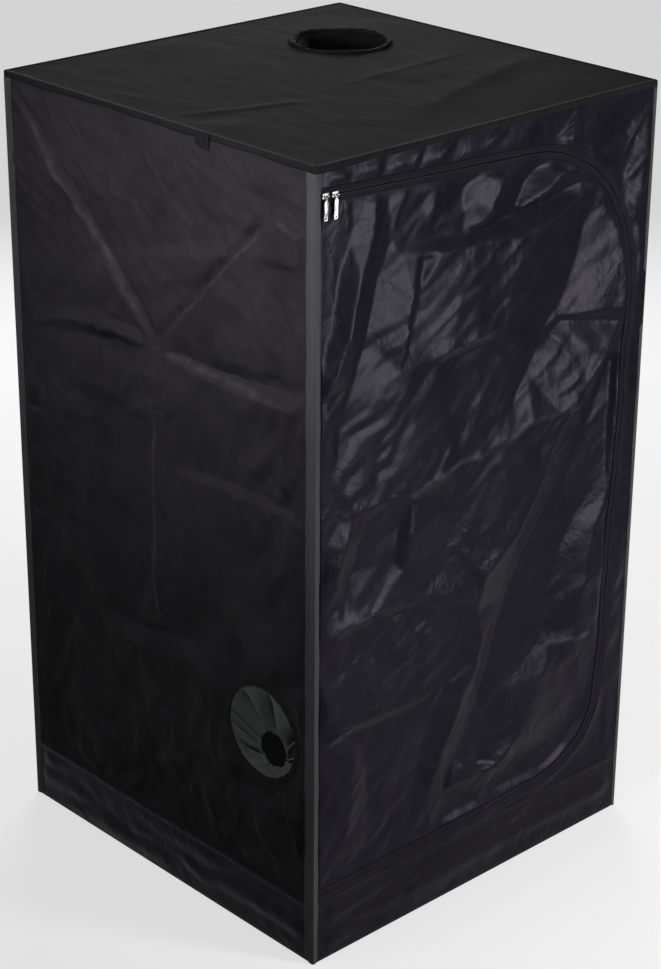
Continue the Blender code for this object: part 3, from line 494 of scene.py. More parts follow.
@dataclass(frozen=True)
class ClothFinish:
    """Coated or woven cloth: its two shades, the lighter colour that paints a highlight along its creases and
    stands partly for worn cloth, how it shines and the size of its weave.
    """

    name: str
    dark: Triple
    light: Triple
    # Lighter colour painted along the creases: a painted highlight, partly worn cloth.
    rubbed_and_lit: Triple
    roughness: Pair = (0.5, 0.65)
    specular: float = 0.1
    tint: Triple = (1, 1, 1)
    pitch: float = 0.0012
    bump: float = 0.08
    metallic: float = 0.0
    # How strongly the creases are painted lighter, as highlight and partly worn cloth.
    rub_and_highlight: float = 1.0
    crinkle: float = 0.0025
    slub: float = 0.35
    grain_share: float = 0.6

    def material(self, effects: Effects) -> bpy.types.Material:
        """Builds the finish.

        Args:
            effects: the shared node groups.

        Returns:
            The material.
        """
        material, nodes, shader = new_material(self.name)
        flat = nodes.add("UVMap").outputs[0]
        weave = nodes.add("Group", node_tree=effects.woven, inputs={"Flat": flat, "Pitch": self.pitch})
        shade = nodes.add("Group", node_tree=effects.mottle)
        creases = nodes.add("Group", node_tree=effects.crease, inputs={"Amount": self.rub_and_highlight})
        colour = nodes.blend(shade.outputs["Mask"], (*self.dark, 1), (*self.light, 1))
        threads = nodes.spread(weave.outputs["Slub"], 0.0, 0.5)
        colour = nodes.blend(threads, colour, nodes.blend(self.slub, colour, (*self.light, 1)))
        # Painted highlight along the creases, partly worn cloth: the colour turns lighter there.
        colour = nodes.blend(creases.outputs["Mask"], colour, (*self.rubbed_and_lit, 1))
        links = material.node_tree.links
        links.new(colour, shader.inputs["Base Color"])
        links.new(nodes.spread(shade.outputs["Grain"], *self.roughness), shader.inputs["Roughness"])
        height = nodes.sum("MULTIPLY_ADD", shade.outputs["Grain"], self.grain_share, weave.outputs["Height"])
        bump = nodes.add("Bump", inputs={"Strength": self.bump, "Distance": self.pitch / 3, "Height": height})
        crinkles = nodes.add("Group", node_tree=effects.crinkle)
        relief = {"Distance": self.crinkle, "Height": crinkles.outputs["Height"], "Normal": bump.outputs[0]}
        folded = nodes.add("Bump", inputs={"Strength": 1.0, **relief})
        links.new(folded.outputs[0], shader.inputs["Normal"])
        shader.inputs["Metallic"].default_value = self.metallic
        shader.inputs["Specular IOR Level"].default_value = self.specular
        shader.inputs["Specular Tint"].default_value = (*self.tint, 1)
        return material


@dataclass(frozen=True)
class SolidFinish:
    """Metal, paint or plastic: its colour, how it shines, and its grain and bumps."""

    name: str
    dark: Triple
    light: Triple
    roughness: Pair = (0.3, 0.45)
    metallic: float = 0.0
    specular: float = 0.5
    grain: float = 400.0
    blotches: float = 40.0
    bump: float = 0.08
    bump_depth: float = 0.0004

    def material(self, effects: Effects) -> bpy.types.Material:
        """Builds the finish.

        Args:
            effects: the shared node groups.

        Returns:
            The material.
        """
        material, nodes, shader = new_material(self.name)
        sizes = {"Broad": self.blotches, "Fine": self.grain}
        shade = nodes.add("Group", node_tree=effects.mottle, inputs=sizes)
        links = material.node_tree.links
        colour = nodes.blend(shade.outputs["Mask"], (*self.dark, 1), (*self.light, 1))
        links.new(colour, shader.inputs["Base Color"])
        links.new(nodes.spread(shade.outputs["Grain"], *self.roughness), shader.inputs["Roughness"])
        relief = {"Distance": self.bump_depth, "Height": shade.outputs["Grain"]}
        bump = nodes.add("Bump", inputs={"Strength": self.bump, **relief})
        links.new(bump.outputs[0], shader.inputs["Normal"])
        shader.inputs["Metallic"].default_value = self.metallic
        shader.inputs["Specular IOR Level"].default_value = self.specular
        return material


class Finishes:
    """Every finish of the tent, built once."""

    def __init__(self) -> None:
        """Builds the shared effects and the materials."""
        effects = Effects()
        # The third colour of each cloth is painted along its creases: a painted highlight, partly worn cloth.
        cloths = (
            ClothFinish(
                "wall cloth", (0.016, 0.0148, 0.0165), (0.024, 0.0225, 0.0250), (0.060, 0.058, 0.064),
                roughness=(0.42, 0.54), specular=0.006,
            ),
            ClothFinish(
                "door cloth", (0.0044, 0.0037, 0.0066), (0.0072, 0.0062, 0.0104), (0.05, 0.046, 0.062),
                roughness=(0.30, 0.38), specular=0.050, tint=(0.84, 0.78, 1.0), bump=0.04, crinkle=0.002,
            ),
            ClothFinish(
                "roof cloth", (0.0095, 0.0095, 0.0100), (0.0130, 0.0130, 0.0135), (0.024, 0.024, 0.025),
                roughness=(0.7, 0.8), specular=0.006, crinkle=0.0012,
            ),
            ClothFinish(
                "base cloth", (0.0050, 0.0044, 0.0064), (0.0080, 0.0072, 0.0100), (0.04, 0.038, 0.045),
                roughness=(0.30, 0.40), specular=0.04, tint=(0.86, 0.80, 1.0), pitch=0.0016,
            ),
            # Lighter than the black wall cloth: a painted highlight of the band where it rounds over the
            # pole.
            ClothFinish(
                "band cloth with painted highlight", (0.040, 0.039, 0.042), (0.054, 0.053, 0.057), (0.10, 0.10, 0.10),
                roughness=(0.7, 0.85), specular=0.1, pitch=0.0022, bump=0.6, crinkle=0.001,
            ),
            ClothFinish(
                "binding tape", (0.008, 0.008, 0.009), (0.013, 0.013, 0.014), (0.03, 0.03, 0.03),
                roughness=(0.75, 0.9), specular=0.03, pitch=0.0018, bump=0.6, crinkle=0.001,
            ),
            ClothFinish(
                "zip tape", (0.0056, 0.0048, 0.0078), (0.0090, 0.0080, 0.0120), (0.05, 0.05, 0.055),
                roughness=(0.42, 0.55), specular=0.03, tint=(0.84, 0.78, 1.0), pitch=0.0009,
                bump=0.5, crinkle=0.0015,
            ),
            ClothFinish(
                "sleeve cloth", (0.040, 0.043, 0.043), (0.064, 0.068, 0.067), (0.08, 0.08, 0.082),
                roughness=(0.45, 0.6), specular=0.1,
            ),
            ClothFinish(
                "hem cloth", (0.012, 0.0115, 0.0125), (0.018, 0.017, 0.0185), (0.05, 0.05, 0.05),
                roughness=(0.5, 0.65), specular=0.01, crinkle=0.003,
            ),
            ClothFinish(
                "silver lining", (0.46, 0.47, 0.485), (0.57, 0.58, 0.59), (0.66, 0.66, 0.67),
                roughness=(0.32, 0.46), metallic=0.85, pitch=0.005, bump=0.5, specular=0.5,
            ),
        )
        solids = (
            SolidFinish(
                "zip metal",
                (0.10, 0.098, 0.092),
                (0.36, 0.355, 0.34),
                (0.28, 0.5),
                metallic=1.0,
                grain=260.0,
                bump=1.0,
            ),
            SolidFinish("pole paint", (0.74, 0.74, 0.72), (0.82, 0.82, 0.81), (0.28, 0.4)),
            SolidFinish(
                "corner plastic", (0.020, 0.020, 0.021), (0.032, 0.032, 0.034), (0.4, 0.55), bump=0.2
            ),
            SolidFinish(
                "zip coil",
                (0.008, 0.007, 0.010),
                (0.013, 0.012, 0.016),
                (0.35, 0.45),
                bump=0.02,
                specular=0.04,
            ),
            SolidFinish("thread", (0.012, 0.0115, 0.014), (0.022, 0.0215, 0.025), (0.5, 0.7), specular=0.06),
        )
        self.made = {finish.name: finish.material(effects) for finish in (*cloths, *solids)}

    def pick(self, *names: str) -> list[bpy.types.Material]:
        """The named finishes."""
        return [self.made[name] for name in names]


def lattice(across: Array, up: Array, knots: Array) -> Array:
    """Heights between a square table of knots, level over each triangle.

    Args:
        across: positions in cells.
        up: positions in cells.
        knots: the heights at the cells' corners, which repeat.

    Returns:
        A height for each position.
    """
    column, row = np.floor(across).astype(int), np.floor(up).astype(int)
    x, y = across - column, up - row

    def knot(right: int, above: int) -> Array:
        """The height at one corner of each position's cell."""
        return knots[(column + right) % len(knots), (row + above) % len(knots)]

    near = knot(0, 0) + x * (knot(1, 0) - knot(0, 0)) + y * (knot(0, 1) - knot(0, 0))
    far = knot(1, 1) + (1 - x) * (knot(0, 1) - knot(1, 1)) + (1 - y) * (knot(1, 0) - knot(1, 1))
    return np.where(x + y < 1, near, far)


@dataclass(frozen=True)
class Facets:
    """Crumpled cloth: level facets between creases, longer one way than the other."""

    size: float
    height: float
    angle: float
    stretch: float
    seed: int
    knots: int = 48
    bend: float = 0.9
    bend_cells: Pair = (2.3, 1.9)
    patch: float = 0.22
    patch_calm: Pair = (-0.7, 0.5)

    def heights(self, across: Array, up: Array) -> Array:
        """How far the crumpled cloth stands out at each place.

        Args:
            across: positions on the face, in metres.
            up: positions on the face, in metres.

        Returns:
            The heights, which are in patches with calm cloth between them.
        """
        draws = np.random.default_rng(self.seed)
        tables = draws.uniform(-1, 1, (4, self.knots, self.knots))
        cosine, sine = math.cos(self.angle), math.sin(self.angle)
        along = (across * cosine + up * sine) / (self.size * self.stretch)
        beside = (up * cosine - across * sine) / self.size
        first, second = self.bend_cells
        bend_along = self.bend * lattice(along / first, beside / first, tables[1])
        bend_beside = self.bend * lattice(along / second, beside / second, tables[2])
        crumpled = lattice(along + bend_along, beside + bend_beside, tables[0])
        patches = rise(lattice(across / self.patch, up / self.patch, tables[3]), *self.patch_calm)
        return self.height * crumpled * patches


@dataclass(frozen=True)
class Fold:
    """One crease, with its ends as shares of the face's width and height.

    The height and the widths of the flanks left and right of the crease are in millimetres.
    """

    start: Pair
    end: Pair
    height: float
    left: float
    right: float
    # How much the crest is painted lighter: a painted highlight, partly worn cloth.
    rubbed_and_lit: float = 0.0
    tapered: Pair = (-0.04, 0.22)
    tip_share: float = 0.4
    crest: float = 0.0022
    # The width of the band painted lighter along the crease.
    rub_and_highlight_width: float = 0.0045

    def raised(self, across: Array, up: Array, face: "Face") -> Arrays:
        """How far the crease lifts the cloth and how much its crest is painted lighter, as painted highlight
        and partly worn cloth.

        Args:
            across: positions on the face.
            up: positions on the face.
            face: where the shares are measured.

        Returns:
            The heights and the painted lightening of the crest.
        """
        first, last = face.spot(self.start), face.spot(self.end)
        run = last - first
        length = math.hypot(*run)
        along = ((across - first[0]) * run[0] + (up - first[1]) * run[1]) / length**2
        aside = ((up - first[1]) * run[0] - (across - first[0]) * run[1]) / length
        taper = rise(along, *self.tapered) * rise(1 - along, *self.tapered)
        narrowed = self.tip_share + (1 - self.tip_share) * taper
        flank = np.where(aside > 0, self.left, self.right) * MILLIMETRE * narrowed
        depth = (np.sqrt(aside**2 + self.crest**2) - self.crest) / flank
        raised = self.height * MILLIMETRE * taper * np.clip(1 - depth, 0, 1)
        # A narrow band along the crease is painted lighter: a painted highlight, partly worn cloth.
        return raised, self.rubbed_and_lit * taper * np.exp(-((aside / self.rub_and_highlight_width) ** 2))


def folds(*rows: Sequence[float]) -> tuple[Fold, ...]:
    """Folds from rows that give both ends in thousandths of the face, and then the other sizes."""
    return tuple(Fold((a / 1000, b / 1000), (c / 1000, d / 1000), *sizes) for a, b, c, d, *sizes in rows)


@dataclass(frozen=True)
class Face:
    """The area that shares of a face are measured on."""

    low: Pair
    high: Pair

    def spot(self, shares: Pair) -> Array:
        """The place of a pair of shares, in metres."""
        low, high = np.array(self.low), np.array(self.high)
        return low + np.array(shares) * (high - low)


WALL_FACE = Face((-OUTER, 0), (OUTER, TENT_HEIGHT))
ROOF_FACE = Face((-OUTER, -OUTER), (OUTER, OUTER))


@dataclass(frozen=True)
class Draped:
    """Cloth hung in level facets between crease lines.

    A line is a row of numbers: across and up in thousandths of the face, then the height in
    millimetres, point after point.
    """

    face: Face
    lines: Sequence[Sequence[float]]
    spacing: float = 0.125
    joined: float = 1e-5
    least_area: float = 1e-9
    graze: float = 1e-6

    @cached_property
    def facets(self) -> tuple[Array, list[list[int]]]:
        """The knots as (across, up, height) rows and the triangles between them.

        Returns:
            The knots and the triangles.
        """
        spots, heights, creases = [], [], []
        for line in self.lines:
            for number, (across, up, height) in enumerate(np.reshape(line, (-1, 3)).tolist()):
                if number:
                    creases.append((len(spots) - 1, len(spots)))
                spots.append(self.face.spot((across / 1000, up / 1000)))
                heights.append(height * MILLIMETRE)
        low, high = np.array(self.face.low), np.array(self.face.high)
        for axis in (0, 1):
            count = math.ceil((high[axis] - low[axis]) / self.spacing)
            for share in np.arange(count) / count:
                for edge in (low, high):
                    spot = edge.copy()
                    spot[axis] = low[axis] + (share if edge is low else 1 - share) * (high[axis] - low[axis])
                    spots.append(spot)
                    heights.append(0.0)
        vectors = [Vector(spot) for spot in spots]
        corners, _, triangles, origins, _, _ = delaunay_2d_cdt(vectors, creases, [], 0, self.joined)
        levels = [
            sum(heights[origin] for origin in near) / len(near) if near else self.between(
                corner, spots, heights, creases
            )
            for corner, near in zip(corners, origins)
        ]
        return np.column_stack((np.array(corners), levels)), triangles

    @staticmethod
    def between(corner: Vector, spots: list, heights: list, creases: list) -> float:
        """The height where two creases cross, from the ends of the nearest.

        Args:
            corner: the crossing.
            spots: the ends of all creases.
            heights: the ends' heights.
            creases: the ends that each crease joins.

        Returns:
            The height.
        """
        best = (math.inf, 0.0)
        for start, end in creases:
            run = spots[end] - spots[start]
            share = float(np.clip((np.array(corner) - spots[start]) @ run / (run @ run), 0, 1))
            gap = math.dist(corner, spots[start] + share * run)
            best = min(best, (gap, heights[start] + share * (heights[end] - heights[start])))
        return best[1]

    def heights(self, across: Array, up: Array) -> Array:
        """How far the hung cloth stands out at each place.

        Args:
            across: positions on the face.
            up: positions on the face.

        Returns:
            The heights.
        """
        knots, triangles = self.facets
        heights = np.zeros(len(across))
        for triangle in triangles:
            (x0, y0, z0), (x1, y1, z1), (x2, y2, z2) = knots[list(triangle)]
            area = (x1 - x0) * (y2 - y0) - (x2 - x0) * (y1 - y0)
            if abs(area) < self.least_area:
                continue
            boxed = (across >= min(x0, x1, x2)) & (across <= max(x0, x1, x2))
            near = np.flatnonzero(boxed & (up >= min(y0, y1, y2)) & (up <= max(y0, y1, y2)))
            x, y = across[near] - x0, up[near] - y0
            second = (x * (y2 - y0) - (x2 - x0) * y) / area
            third = ((x1 - x0) * y - x * (y1 - y0)) / area
            inside = (second >= -self.graze) & (third >= -self.graze) & (second + third <= 1 + self.graze)
            heights[near[inside]] = (z0 + second * (z1 - z0) + third * (z2 - z0))[inside]
        return heights


@dataclass(frozen=True)
class Crumple:
    """The whole relief of one panel: named folds over crumpled facets, calm at its edges."""

    face: Face
    low: Pair
    high: Pair
    folds: Sequence[Fold]
    facets: Sequence[Facets]
    draped: Sequence[Sequence[float]] = ()
    drape_height: float = 1.0
    border: float = 0.012
    fade: float = 0.05
    pole_reach: float = 0.05
    pole_depth: float = 0.0012
    depth: float = 0.009
    proud: float = 0.014

    def __call__(self, across: Array, up: Array) -> Arrays:
        """The cloth's relief at each place.

        Args:
            across: positions on the face.
            up: positions on the face.

        Returns:
            How far the cloth stands out, and how much its creases are painted lighter as highlight and partly
            worn cloth.
        """
        heights = sum((facet.heights(across, up) for facet in self.facets), np.zeros(len(across)))
        wear_and_highlight = np.zeros(len(across))
        if self.draped:
            heights += self.drape_height * Draped(self.face, self.draped).heights(across, up)
        for fold in self.folds:
            raised, rubbed_and_lit = fold.raised(across, up, self.face)
            heights += raised
            wear_and_highlight = np.maximum(wear_and_highlight, rubbed_and_lit)
        calm = self.calm(across, up)
        return self.limited(across, up, heights * calm), wear_and_highlight * np.sqrt(calm)

    def calm(self, across: Array, up: Array) -> Array:
        """0 at the panel's edges, rising to 1 inside.

        Args:
            across: positions on the face.
            up: positions on the face.

        Returns:
            A factor for each position.
        """
        calm = np.ones(len(across))
        for place, low, high in zip((across, up), self.low, self.high):
            calm *= rise(place - low, self.border, self.border + self.fade)
            calm *= rise(high - place, self.border, self.border + self.fade)
        return calm

    def limited(self, across: Array, up: Array, heights: Array) -> Array:
        """Keeps the cloth out of the poles behind it.

        Args:
            across: positions on the face.
            up: positions on the face.
            heights: how far the cloth would stand out.

        Returns:
            The heights within their limits.
        """
        inset = np.full(len(across), np.inf)
        for place, low, high in zip((across, up), self.face.low, self.face.high):
            inset = np.minimum(inset, np.minimum(place - low, high - place))
        freed = rise(inset, self.pole_reach, 2 * self.pole_reach)
        room = self.pole_depth + (self.depth - self.pole_depth) * freed
        return np.clip(heights, -room, self.proud)


@dataclass(frozen=True)
class ClothPanel:
    """One flat-cut panel of the skin."""

    name: str
    side: Side
    low: Pair
    high: Pair
    relief: Mapping
    dressing: Dressing
    cell: float = 0.007
    plane: float = SKIN
    soften: float = 0.2
    whole_share: float = 0.9
    cuts: Sequence[tuple[Array, Keep]] = ()

    def build(self) -> bpy.types.Object:
        """Returns:
            The panel.
        """
        low, size = np.array(self.low), np.array(self.high) - np.array(self.low)
        columns, rows = (max(1, round(length / self.cell)) for length in size)

        def flat_cloth(across: Array, up: Array) -> Arrays:
            """The panel before it is folded."""
            spots = low + np.stack((across, up), 1) * size
            return np.column_stack((spots, np.zeros(len(spots)))), spots

        bm = laid_grid(columns, rows, flat_cloth)
        for outline, keep in self.cuts:
            trim(bm, outline, keep, self.cell)
        spots = np.array([vert.co for vert in bm.verts])[:, :2]
        heights, wear_and_highlight = self.relief(spots[:, 0], spots[:, 1])
        lay_on(bm, self.side.lay(spots[:, 0], spots[:, 1], self.plane + heights), spots)
        outward = [bool(part) for part in self.side.value]
        bmesh.ops.smooth_vert(
            bm, verts=bm.verts, factor=self.soften,
            use_axis_x=outward[0], use_axis_y=outward[1], use_axis_z=outward[2],
        )
        face_away(bm, Vector((0, 0, TENT_HEIGHT / 2)))
        area = sum(face.calc_area() for face in bm.faces)
        panel = self.dressing.make(self.name, bm, wear_and_highlight)
        return panel


LEFT_FOLDS = folds(
    (975, 983, 508, 733, 3.4, 6, 11, 0.5),
    (955, 982, 500, 741, -4.0, 9, 8, 0.0),
    (478, 737, 150, 913, 3.0, 10, 7, 0.4),
    (490, 744, 170, 915, -3.6, 8, 9, 0.0),
    (520, 722, 50, 716, 0.8, 9, 9, 0.5),
    (506, 655, 508, 345, 2.6, 8, 10, 0.7),
    (148, 940, 47, 931, -2.5, 10, 16, 0.0),
    (120, 928, 18, 916, 2.5, 8, 14, 0.3),
    (994, 574, 862, 569, 3.5, 20, 26, 0.6),
    (565, 639, 427, 645, 3.0, 16, 20, 0.4),
    (993, 436, 862, 418, 3.6, 22, 24, 0.4),
    (900, 330, 640, 240, 3.4, 30, 26, 0.3),
)

LEFT_DRAPE = (
    (978, 989, -1, 937, 971, -4, 840, 919, -5, 741, 867, -5, 676, 830, -5, 611, 795, -5, 559, 769, -5, 504,
     738, -3),
    (982, 980, 0, 947, 964, 2, 854, 914, 4, 756, 861, 5, 692, 824, 5, 628, 789, 5, 576, 762, 5, 519, 732, 4),
    (922, 975, 0, 826, 924, 0, 723, 870, 0, 658, 832, 0, 593, 799, 0, 542, 773, 0),
    (478, 738, -3, 427, 769, -5, 345, 815, -5, 266, 859, -5, 220, 886, -5, 157, 920, -4, 116, 939, -2),
    (455, 742, 2, 405, 771, 5, 326, 815, 5, 249, 857, 5, 203, 884, 4, 142, 916, 2),
    (494, 747, 0, 443, 774, 0, 361, 820, 0, 281, 864, 0, 235, 890, 0),
    (367, 742, 2, 226, 745, 4, 105, 748, 4, 37, 751, 1),
    (416, 725, -2, 314, 724, -3, 227, 725, -4, 135, 729, -4, 37, 734, -1),
    (472, 720, 3, 417, 715, 6, 327, 712, 8, 227, 712, 9, 135, 713, 9, 37, 719, 3),
    (827, 722, -2, 684, 740, -2, 554, 736, -1),
    (888, 698, 2, 807, 714, 6, 703, 722, 7, 599, 725, 7, 515, 722, 5),
    (867, 691, -3, 723, 702, -3, 584, 707, -3),
    (497, 641, 2, 503, 552, 5, 506, 445, 5, 508, 358, 1),
    (522, 627, 0, 523, 548, 0, 527, 441, 0),
    (477, 634, 0, 479, 556, 0, 482, 450, 0),
    (1000, 590, 1, 932, 589, 5, 843, 583, 6, 801, 565, 2),
    (971, 573, -1, 882, 566, -3, 839, 554, -2),
    (555, 639, 1, 493, 653, 5, 420, 649, 2),
    (528, 637, 0, 447, 639, -2),
    (843, 452, 2, 769, 451, 4),
    (851, 444, -1, 785, 440, -3),
    (444, 583, -1, 309, 589, -3, 214, 592, -3, 75, 590, -2),
    (417, 576, 2, 293, 581, 4, 198, 582, 4, 106, 583, 4, 39, 578, 2),
    (858, 382, -1, 800, 367, -5, 749, 347, -2),
    (796, 403, 2, 731, 382, 3, 690, 359, 1),
    (676, 344, -1, 601, 338, -6, 488, 348, -3, 384, 359, -5, 314, 361, -2),
    (663, 325, 3, 585, 314, 5, 489, 317, 3),
    (940, 236, -2, 875, 228, -5, 815, 218, -2),
    (654, 265, -1, 582, 255, -5, 510, 262, -1),
    (973, 135, -2, 854, 141, -5, 738, 146, -1),
    (540, 236, -2, 434, 246, -5, 369, 234, -2),
    (409, 193, -2, 326, 193, -5, 259, 191, -1),
    (402, 335, 3, 335, 319, 5, 289, 305, 4),
    (234, 418, 3, 211, 399, 5, 164, 372, 6, 139, 356, 4),
    (253, 403, -1, 225, 383, -3, 183, 362, -3),
    (95, 226, 5, 69, 195, 9, 34, 155, 8, 8, 120, 2),
    (140, 212, -3, 98, 174, -6, 50, 134, -4),
    (186, 178, 2, 141, 142, 5, 76, 111, 3),
    (220, 157, -2, 180, 125, -4, 134, 109, -2),
    (311, 144, 2, 247, 122, 6, 187, 101, 4, 134, 92, 1),
    (360, 126, -1, 302, 109, -3, 248, 94, -2),
    (221, 952, -1, 156, 945, -4, 98, 944, -2),
    (156, 965, 3, 92, 962, 5, 38, 953, 3),
    (87, 939, -3, 52, 931, -5, 30, 925, -2),
    (81, 930, 2, 47, 919, 4),
    (352, 875, -1, 306, 874, -5, 254, 869, -3),
    (329, 917, 2, 246, 916, 4, 192, 911, 3),
    (157, 867, 0, 93, 872, -3, 38, 866, -2),
    (187, 877, 3, 104, 884, 5, 38, 882, 3),
    (615, 827, 0, 474, 849, -3, 359, 862, -1),
    (602, 820, 1, 475, 840, 3, 347, 853, 2),
    (604, 798, 1, 554, 792, 3, 511, 791, 1),
    (478, 793, -2, 413, 800, -3, 361, 808, -2),
)

FRONT_DRAPE = (
    (150, 902, 3, 111, 862, 8, 83, 796, 8, 49, 754, 6, 17, 733, 1),
    (96, 907, -1, 60, 868, -2, 34, 814, -1.5, 19, 779, 0),
    (205, 896, -2, 174, 854, -5, 143, 788, -6, 106, 740, -5, 72, 691, -3, 42, 648, -1),
    (279, 869, 2, 262, 819, 5, 245, 762, 5, 229, 738, 2),
    (296, 864, -1, 282, 816, -2, 259, 762, -2),
    (214, 883, -1, 312, 882, -2, 413, 879, -3, 489, 876, -4, 573, 884, -6, 661, 886, -9, 713, 892, -9, 769,
     899, -4),
    (242, 869, 1, 342, 864, 4, 400, 862, 4, 491, 862, 4, 579, 854, 7, 633, 861, 6, 700, 870, 4, 762, 879, 1),
    (581, 889, 1, 650, 903, 8, 700, 922, 10, 757, 923, 4),
    (566, 893, -3, 593, 918, -5, 640, 936, -4),
    (533, 949, 3, 506, 925, 7, 482, 898, 6, 459, 885, 2),
    (374, 903, -2, 412, 929, -4, 440, 947, -3, 474, 956, -1),
    (817, 873, -1, 786, 843, -6, 764, 791, -8, 733, 757, -8, 679, 727, -8, 656, 704, -8, 630, 680, -8, 592,
     655, -6, 578, 638, -4),
    (874, 838, 3, 910, 798, 8, 914, 746, 10, 903, 727, 10),
    (739, 735, -5, 820, 732, 4, 903, 727, 10),
    (736, 729, -9, 822, 720, -2, 903, 708, 6),
    (903, 708, 6, 879, 689, 11, 842, 668, 13, 806, 643, 12, 772, 619, 9, 733, 596, 6, 697, 569, 6, 674, 539,
     7, 645, 511, 7, 600, 478, 8, 554, 455, 8, 499, 437, 8, 474, 396, 7, 493, 348, 7, 471, 308, 7, 435, 274,
     6, 406, 238, 5, 377, 202, 3, 357, 169, 1),
    (913, 682, -1, 891, 652, -7, 866, 616, -10, 834, 581, -11, 798, 550, -11, 758, 519, -11, 709, 489, -10,
     664, 454, -10, 622, 420, -10, 586, 386, -10, 557, 347, -10, 535, 305, -9, 506, 265, -8, 471, 227, -6,
     434, 195, -5, 399, 157, -2),
    (878, 502, -4, 806, 457, -8, 764, 420, -9, 732, 373, -9, 714, 325, -8, 687, 294, -6),
    (902, 479, 2, 866, 444, 5, 838, 395, 6, 821, 342, 6, 813, 289, 4),
    (731, 295, 0, 793, 290, 3, 858, 289, 3),
    (756, 280, 2, 708, 261, 4, 668, 226, 5, 634, 193, 5, 617, 164, 3),
    (571, 263, -3, 549, 222, -5, 525, 190, -5, 507, 171, -4),
    (837, 209, -2, 807, 172, -5, 747, 152, -6, 652, 143, -7, 587, 128, -6, 515, 118, -3),
    (739, 191, 1, 656, 176, 3, 570, 161, 6, 488, 162, 6, 418, 160, 3),
    (23, 444, 1, 91, 440, 4, 163, 447, 5, 236, 443, 4, 368, 435, 3, 471, 434, 4),
    (23, 435, 0, 91, 429, -1, 166, 436, -2, 239, 434, -1),
    (105, 577, 3, 85, 554, 6, 66, 530, 6, 53, 497, 4, 45, 466, 1),
    (161, 571, 0, 131, 540, -3, 106, 507, -3, 87, 478, -1),
    (65, 578, 0, 113, 583, 4, 158, 583, 4, 227, 584, 2),
    (230, 577, 0, 238, 541, -3, 228, 502, -2),
    (277, 570, 2, 270, 529, 4, 255, 486, 3),
    (398, 546, -1, 386, 502, -3, 367, 460, -2),
    (338, 739, 1, 384, 744, 4, 449, 746, 5, 494, 748, 3, 542, 755, 1),
    (344, 731, 0, 397, 733, -1, 462, 735, -2, 504, 738, -1),
    (491, 600, 1, 556, 607, 5, 634, 611, 7, 718, 613, 5),
    (494, 575, 1, 543, 576, 5, 606, 575, 6, 664, 575, 3),
    (256, 578, 1, 323, 586, 4, 389, 592, 3, 421, 598, 1),
    (30, 303, 1, 68, 308, 4, 117, 308, 4, 254, 306, 3, 377, 300, 2),
    (36, 292, 0, 117, 296, -2, 254, 295, -1),
    (404, 221, 2, 371, 195, 4, 347, 166, 1),
    (334, 242, -2, 314, 204, -3, 303, 171, -1),
    (154, 250, -1, 165, 195, -3, 158, 132, -1),
    (112, 262, 2, 108, 208, 4, 94, 156, 2),
    (166, 984, 3, 150, 1000, 4),
    (183, 983, 0, 171, 1000, 0),
    (262, 975, 3, 281, 994, 4),
    (276, 975, 0, 300, 995, 0),
    (329, 973, 4, 368, 991, 5),
    (349, 972, 0, 387, 992, 0),
    (444, 969, 3, 506, 987, 5),
    (470, 967, 0, 533, 987, 0),
    (76, 980, 3, 37, 995, 2),
    (89, 983, 0, 63, 996, 0),
    (897, 885, -1, 924, 921, -1, 946, 951, 0),
    (946, 862, 3, 966, 904, 5, 980, 945, 4),
)

ROOF_FOLDS = folds(
    (41, 466, 170, 417, 1.6, 16, 14, 0.5),
    (140, 424, 325, 371, 2.0, 18, 14, 0.6),
    (455, 419, 885, 452, 1.6, 20, 16, 0.5),
    (439, 164, 1000, 350, 1.6, 40, 34, 0.3),
)

FRONT_FOLDS = folds(
    (330, 736, 510, 750, 3.0, 34, 8, 0.5),
    (589, 617, 810, 616, 3.5, 30, 8, 0.4),
    (250, 574, 345, 588, 2.6, 10, 12, 0.6),
    (326, 586, 440, 599, 2.6, 10, 12, 0.6),
    (421, 597, 510, 594, 2.6, 10, 12, 0.5),
    (15, 443, 175, 447, 3.0, 20, 8, 0.7),
    (725, 298, 870, 289, 3.0, 22, 8, 0.7),
    (590, 114, 715, 118, 2.5, 12, 8, 0.5),
    (40, 298, 120, 308, 3.0, 14, 8, 0.7),
    (886, 913, 974, 977, 3.5, 16, 12, 0.6),
    (906, 886, 968, 917, 3.0, 14, 10, 0.5),
    (923, 841, 957, 881, 3.0, 12, 9, 0.4),
    (266, 113, 454, 97, 2.5, 12, 9, 0.4),
)


